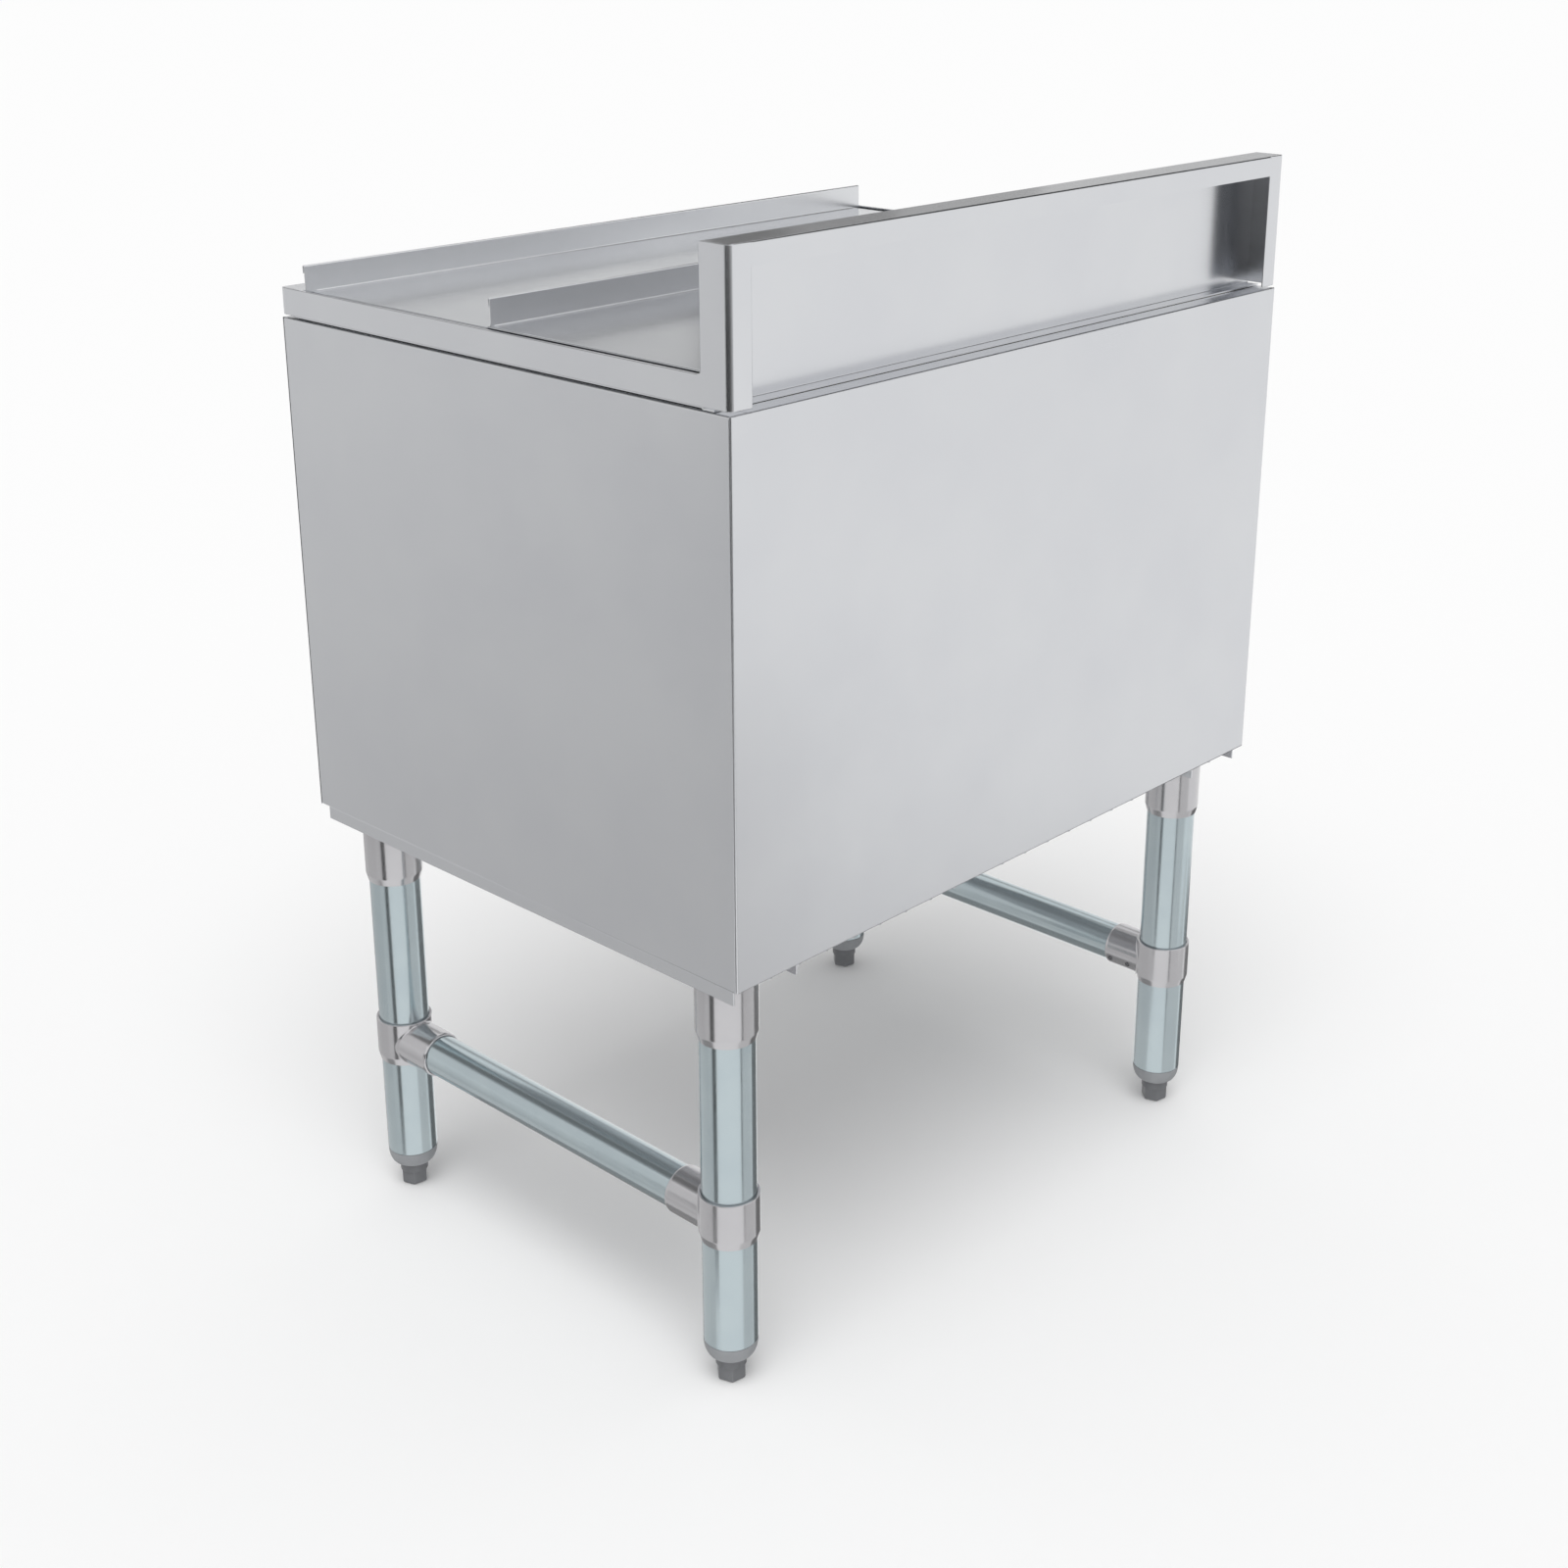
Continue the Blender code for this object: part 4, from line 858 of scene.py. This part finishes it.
def teeArm(cfg, way):
    # the arm's root follows the round of the sleeve and flares into it
    steps = 72
    sleeve = socketForm["outer"]
    rows = []
    for k in range(7):
        a = math.pi / 2 * (1 - k / 6)
        rows.append((cfg["outer"] + cfg["fillet"] * (1 - math.cos(a)), cfg["fillet"] * (1 - math.sin(a)), True))
    lipSteps = 4
    for k in range(lipSteps + 1):
        share = k / lipSteps
        rows.append((cfg["outer"] - cfg["lipIn"] * (1 - math.cos(share * math.pi / 2)),
                     cfg["reach"] - cfg["lip"] * (1 - math.sin(share * math.pi / 2)), False))
    rows.append((cfg["bore"], cfg["reach"], False))
    rows.append((cfg["bore"], sleeve * 0.72, False))
    rings = []
    for r, along, rooted in rows:
        ring = []
        for i in range(steps):
            a = math.tau * i / steps
            x, z = r * math.cos(a), r * math.sin(a)
            root = math.sqrt(max(sleeve ** 2 - x ** 2, 0)) - 0.0002 if rooted else 0
            ring.append((x, -way * (root + along), cfg["level"] + z))
        rings.append(ring)
    return skinned(rings)


def setScrew(cfg, sign, place, distance):
    nick, steps = cfg["nick"], 24
    path = [(0, cfg["tip"]), (cfg["radius"], cfg["tip"]), (cfg["radius"], cfg["head"] - nick),
            (cfg["radius"] - nick, cfg["head"])]
    rows = [circleRing(r, level, steps) for r, level in path]
    rows += [hexRing(cfg["socket"], level, steps, 1) for level in (cfg["head"], cfg["head"] - cfg["deep"])]
    shape = skinned(rows, capLast=True)
    turn = Matrix.Rotation(-sign * (math.pi / 2 + math.radians(cfg["drop"])), 4, "Y")
    return moved(shape, (place[0], place[1] - distance, teeForm["level"]), turn)


def hexFoot(cfg):
    # a hexagon for the wrench, a round collar above it, and the stem
    turn = math.radians(cfg["turn"] + 30)
    corner, chamfer, nick, tip = cfg["corner"], cfg["chamfer"], cfg["nick"], cfg["tip"]
    path = [(corner - chamfer * (1 - math.sin(a)), chamfer * (1 - math.cos(a))) for a in quarterTurn(4)]
    path.append((corner, cfg["collarLow"]))
    rings = [hexRing(r, level, soft=cfg["cornerSoft"], turn=turn) for r, level in path]
    path = [(cfg["collar"], cfg["collarLow"]), (cfg["collar"], cfg["high"] - nick),
            (cfg["collar"] - nick, cfg["high"]), (cfg["stem"], cfg["high"])]
    # rolled thread on the stem, in shallow rings
    path += threadRows(cfg["stem"], cfg["high"] + cfg["plainLow"], cfg["stemTop"] - cfg["plainTop"],
                       cfg["threadPitch"], cfg["threadDeep"], (0.35, 0.5, 0.85))
    path += [(cfg["stem"], cfg["stemTop"] - tip), (cfg["stem"] - tip, cfg["stemTop"])]
    rings += [circleRing(r, level, turn=turn) for r, level in path]
    return skinned(rings, True, True)


def buildStand():
    for side, sign in sides:
        c = channelForm
        mid = sign * legAt["x"]
        path = [(mid + c["half"], c["low"]), (mid + c["half"], c["top"]), (mid - c["half"], c["top"]),
                (mid - c["half"], c["low"])]
        piece("channel_" + side, drawn(sheetOutline(path, c["sheet"], c["fold"], 6), 1, -c["reach"], c["reach"]),
              "panel_steel", stands=["leg_channel_" + side])
        b = braceForm
        lay = Matrix.Rotation(math.pi / 2, 4, "X")
        bar = turnedShape(rounded([(b["radius"] - b["wall"], -b["reach"]), (b["radius"], -b["reach"]),
                                   (b["radius"], b["reach"]), (b["radius"] - b["wall"], b["reach"])], 0.0004, 2))
        piece("brace_tube_" + side, moved(bar, (mid, 0, teeForm["level"]), lay), "galvanised_tube",
              stands=["brace_" + side], edge=0)
    for side, sign, end, way in corners:
        label = "_" + side + "_" + end
        at = (sign * legAt["x"], way * legAt["y"], 0)
        s = socketForm
        wallIn = s["top"] - (s["outer"] - s["bore"])
        path = [(0, s["top"]), (s["outer"], s["top"]), (s["outer"], s["low"] + s["lipHigh"]),
                (s["outer"] - s["lipIn"], s["low"]), (s["bore"], s["low"]), (s["bore"], wallIn), (0, wallIn)]
        piece("socket" + label, moved(turnedShape(rounded(path, [0, 0.0006, 0.004, 0.0003, 0, 0, 0], 4)), at),
              "cast_socket", stands=["leg_socket" + label], edge=0)
        t = tubeForm
        inner = t["radius"] - t["wall"]
        path = [(inner, t["low"]), (t["radius"], t["low"]), (t["radius"], t["top"]), (inner, t["top"])]
        piece("leg" + label, moved(turnedShape(rounded(path, 0.0003, 2), 96), at), "galvanised_tube",
              stands=["leg_tube" + label], edge=0)
        f = teeForm
        path = [(s["bore"], f["high"]), (s["outer"], f["high"]), (s["outer"], f["low"] + s["lipHigh"]),
                (s["outer"] - s["lipIn"], f["low"]), (s["bore"], f["low"])]
        piece("tee_sleeve" + label, moved(turnedShape(rounded(path, [0.0002, 0.0006, 0.004, 0.0002, 0], 4)), at),
              "cast_socket", stands=["leg_tee" + label], edge=0)
        piece("tee_arm" + label, moved(teeArm(f, way), at), "cast_socket", edge=0)
        for row in ("near", "far"):
            piece("grub" + label + "_" + row, setScrew(screwForm, sign, at, way * screwForm[row]),
                  "screw_steel", stands=["set_screw" + label + "_" + row], edge=0)
        c = cupForm
        bowl = [(c["mouth"] + (t["radius"] - c["mouth"]) * math.cos(a),
                 c["bowlTop"] - (c["bowlTop"] - c["low"]) * math.sin(a)) for a in quarterTurn(12)]
        path = [(c["plug"], c["plugTop"]), (c["plug"], c["bowlTop"]), *bowl, (c["stem"], c["low"]),
                (c["stem"], c["plugTop"])]
        piece("cup" + label, moved(turnedShape(path), at), "grey_plastic", stands=["end_cup" + label], edge=0)
        piece("pad" + label, moved(hexFoot(footForm), at), "dark_foot", side + "_" + end + "_foot",
              ["foot" + label], edge=0)


buildStand()
print("stand built")


# Floor: a plain pale sheet that keeps the shadow
floorForm = {"reach": 40, "drop": 0.0002, "colour": (0.93, 0.93, 0.93), "rough": 0.9}


def buildFloor(cfg):
    shape = bmesh.new()
    spots = [(x * cfg["reach"], y * cfg["reach"], 0) for x, y in ((-1, -1), (1, -1), (1, 1), (-1, 1))]
    shape.faces.new([shape.verts.new(spot) for spot in spots])
    floor = objectFrom(shape, "studio_floor")
    floor.location.z = -cfg["drop"]
    pale = bpy.data.materials.new("pale floor")
    pale.use_nodes = True
    shader = pale.node_tree.nodes["Principled BSDF"]
    shader.inputs["Base Color"].default_value = (*cfg["colour"], 1)
    shader.inputs["Roughness"].default_value = cfg["rough"]
    shader.inputs["Specular IOR Level"].default_value = 0
    floor.data.materials.append(pale)
    floor.visible_glossy = False


buildFloor(floorForm)


# Reflection screens: upright flats round the bin that only the metal sees
def arc(start, stop, far=4.0):
    count = max(int(abs(stop - start) / 5), 1)
    turns = [math.radians(start + (stop - start) * k / count) for k in range(count + 1)]
    return [(math.cos(a) * far, math.sin(a) * far) for a in turns]


def screen(name, line, low, high, grey, greyHigh=None):
    shape = bmesh.new()
    feet = [shape.verts.new((x, y, low)) for x, y in line]
    heads = [shape.verts.new((x, y, high)) for x, y in line]
    for i in range(len(line) - 1):
        shape.faces.new((feet[i], feet[i + 1], heads[i + 1], heads[i]))
    hangScreen(name, shape, grey, greyHigh)


def hangScreen(name, shape, grey, greyHigh=None):
    obj = objectFrom(shape, name)
    made = bpy.data.materials.new(name)
    made.use_nodes = True
    tree = made.node_tree
    tree.nodes.clear()
    glow = tree.nodes.new("ShaderNodeEmission")
    glow.inputs["Color"].default_value = (grey, grey, grey, 1)
    if greyHigh is not None:
        # a card that pales from its lower edge to its upper one
        at = node(tree, "ShaderNodeTexCoord")
        parts = node(tree, "ShaderNodeSeparateXYZ")
        tree.links.new(at.outputs["Generated"], parts.inputs[0])
        tree.links.new(ranged(tree, parts.outputs["Z"], 0, 1, grey, greyHigh), glow.inputs["Color"])
    out = tree.nodes.new("ShaderNodeOutputMaterial")
    tree.links.new(glow.outputs[0], out.inputs["Surface"])
    obj.data.materials.append(made)
    for kind in ("camera", "diffuse", "transmission", "volume_scatter", "shadow"):
        setattr(obj, "visible_" + kind, False)


def ceilingStrip(name, left, right, grey):
    front, rear, level = ceiling["front"], ceiling["rear"], ceiling["level"]
    shape = bmesh.new()
    spots = ((left, front), (right, front), (right, rear), (left, rear))
    shape.faces.new([shape.verts.new((x, y, level)) for x, y in spots])
    hangScreen(name, shape, grey)


# each screen's line on the ground, lower and upper level, grey, and the grey it pales to
screens = {
    "side screen": (arc(-130, -17), -2.0, 0.6, 0.57, 0.85),
    "side screen low": (arc(-130, -17), -3.6, -2.0, 0.69),
    "side screen foot": (arc(-130, -17), -8, -3.6, 0.30),
    "side screen high": (arc(-112, -17), 0.6, 2.6, 0.76),
    "near screen": ([(1.27, -0.55), (1.30, -0.12)], -0.9, 0.1, 0.69),
    "corner flag": (arc(-34, 44), -0.75, 0.6, 0.03),
    "corner flag middle": (arc(44, 64), -0.75, 0.6, 0.15),
    "corner flag end": (arc(64, 88), -0.75, 0.6, 0.45),
    "far flag": (arc(153, 200), -8, -1.5, 0.16),
    "edge flag": (arc(247, 258), -8, -0.6, 0.15),
    "back screen": (arc(180, 203, 0.75), 0.86, 1.10, 0.60),
    "back screen middle": (arc(203, 215, 0.75), 0.885, 1.13, 0.42),
    "back screen near": (arc(215, 224, 0.75), 0.90, 1.16, 0.26),
    "back screen end": (arc(224, 231.5, 0.75), 0.955, 1.20, 0.02),
    "back screen high": (arc(212, 245, 4.5), 1.67, 2.8, 0.44),
    "back screen top": (arc(152, 212), 2.3, 5.6, 0.06),
    "near flag": ([(1.30, -0.12), (1.32, 0.20)], -0.62, 0.25, 0.04),
    "rear screen low": ([(0.13, 1.06), (-1.35, 1.06)], -3.0, -0.3, 0.72),
    "rear screen": ([(0.13, 1.06), (-0.55, 1.06)], -0.3, 0.15, 0.72),
    "rear strip": ([(0.14, 1.05), (0.05, 1.05)], -0.42, 0.10, 0.06),
}
ceiling = {
    "level": 3.2, "front": -5, "rear": 1,
    "strips": ((-1.0, 0.1, 0.66), (0.1, 0.8, 0.50), (0.8, 2.3, 0.14), (2.3, 3.0, 0.40)),
}
for name, card in screens.items():
    screen(name, *card)
for number, strip in enumerate(ceiling["strips"]):
    ceilingStrip("ceiling strip " + str(number), *strip)


# Room: one soft lamp, and a white world that lights the bin less than it shows
room = {"lamp": 1.5, "lampSpread": 45, "lampWay": (-0.35, -0.30, -1), "fill": 0.62, "shown": 1}


def buildRoom(cfg):
    sun = bpy.data.lights.new("studio lamp", "SUN")
    sun.energy = cfg["lamp"]
    sun.angle = math.radians(cfg["lampSpread"])
    lamp = bpy.data.objects.new("studio lamp", sun)
    lamp.rotation_euler = Vector(cfg["lampWay"]).to_track_quat("-Z", "Y").to_euler()
    lamp.visible_glossy = False
    bpy.context.scene.collection.objects.link(lamp)
    world = bpy.data.worlds.new("studio")
    world.use_nodes = True
    bpy.context.scene.world = world
    tree = world.node_tree
    tree.nodes.clear()
    link = tree.links.new
    path = node(tree, "ShaderNodeLightPath")
    seen = node(tree, "ShaderNodeMath", operation="MAXIMUM")
    seenMore = node(tree, "ShaderNodeMath", operation="MAXIMUM")
    link(path.outputs["Is Camera Ray"], seen.inputs[0])
    link(path.outputs["Is Glossy Ray"], seen.inputs[1])
    link(seen.outputs[0], seenMore.inputs[0])
    link(path.outputs["Is Transmission Ray"], seenMore.inputs[1])
    lit = node(tree, "ShaderNodeBackground", Color=(1, 1, 1, 1), Strength=cfg["fill"])
    clear = node(tree, "ShaderNodeBackground", Color=(1, 1, 1, 1), Strength=cfg["shown"])
    mix = node(tree, "ShaderNodeMixShader")
    out = node(tree, "ShaderNodeOutputWorld")
    link(seenMore.outputs[0], mix.inputs["Fac"])
    link(lit.outputs[0], mix.inputs[1])
    link(clear.outputs[0], mix.inputs[2])
    link(mix.outputs[0], out.inputs["Surface"])


buildRoom(room)
print("studio set")


# Camera: the photographer's place, a little pitched
shot = {
    "place": (1.2236, 1.1594, 1.0434), "yaw": 46.779, "pitch": 19.565, "lens": 50.66,
    "shift": (-0.0131, -0.08),
}


def buildCamera(cfg):
    data = bpy.data.cameras.new("shot")
    data.lens = cfg["lens"]
    data.sensor_width = 36
    data.shift_x, data.shift_y = cfg["shift"]
    data.clip_start, data.clip_end = 0.01, 200
    cam = bpy.data.objects.new("shot", data)
    yaw, pitch = math.radians(cfg["yaw"]), math.radians(cfg["pitch"])
    ahead = Vector((-math.sin(yaw) * math.cos(pitch), -math.cos(yaw) * math.cos(pitch), -math.sin(pitch)))
    cam.rotation_mode = "QUATERNION"
    cam.rotation_quaternion = ahead.to_track_quat("-Z", "Y")
    cam.location = cfg["place"]
    bpy.context.scene.collection.objects.link(cam)
    bpy.context.scene.camera = cam


buildCamera(shot)
bpy.context.scene.view_settings.view_transform = "Standard"
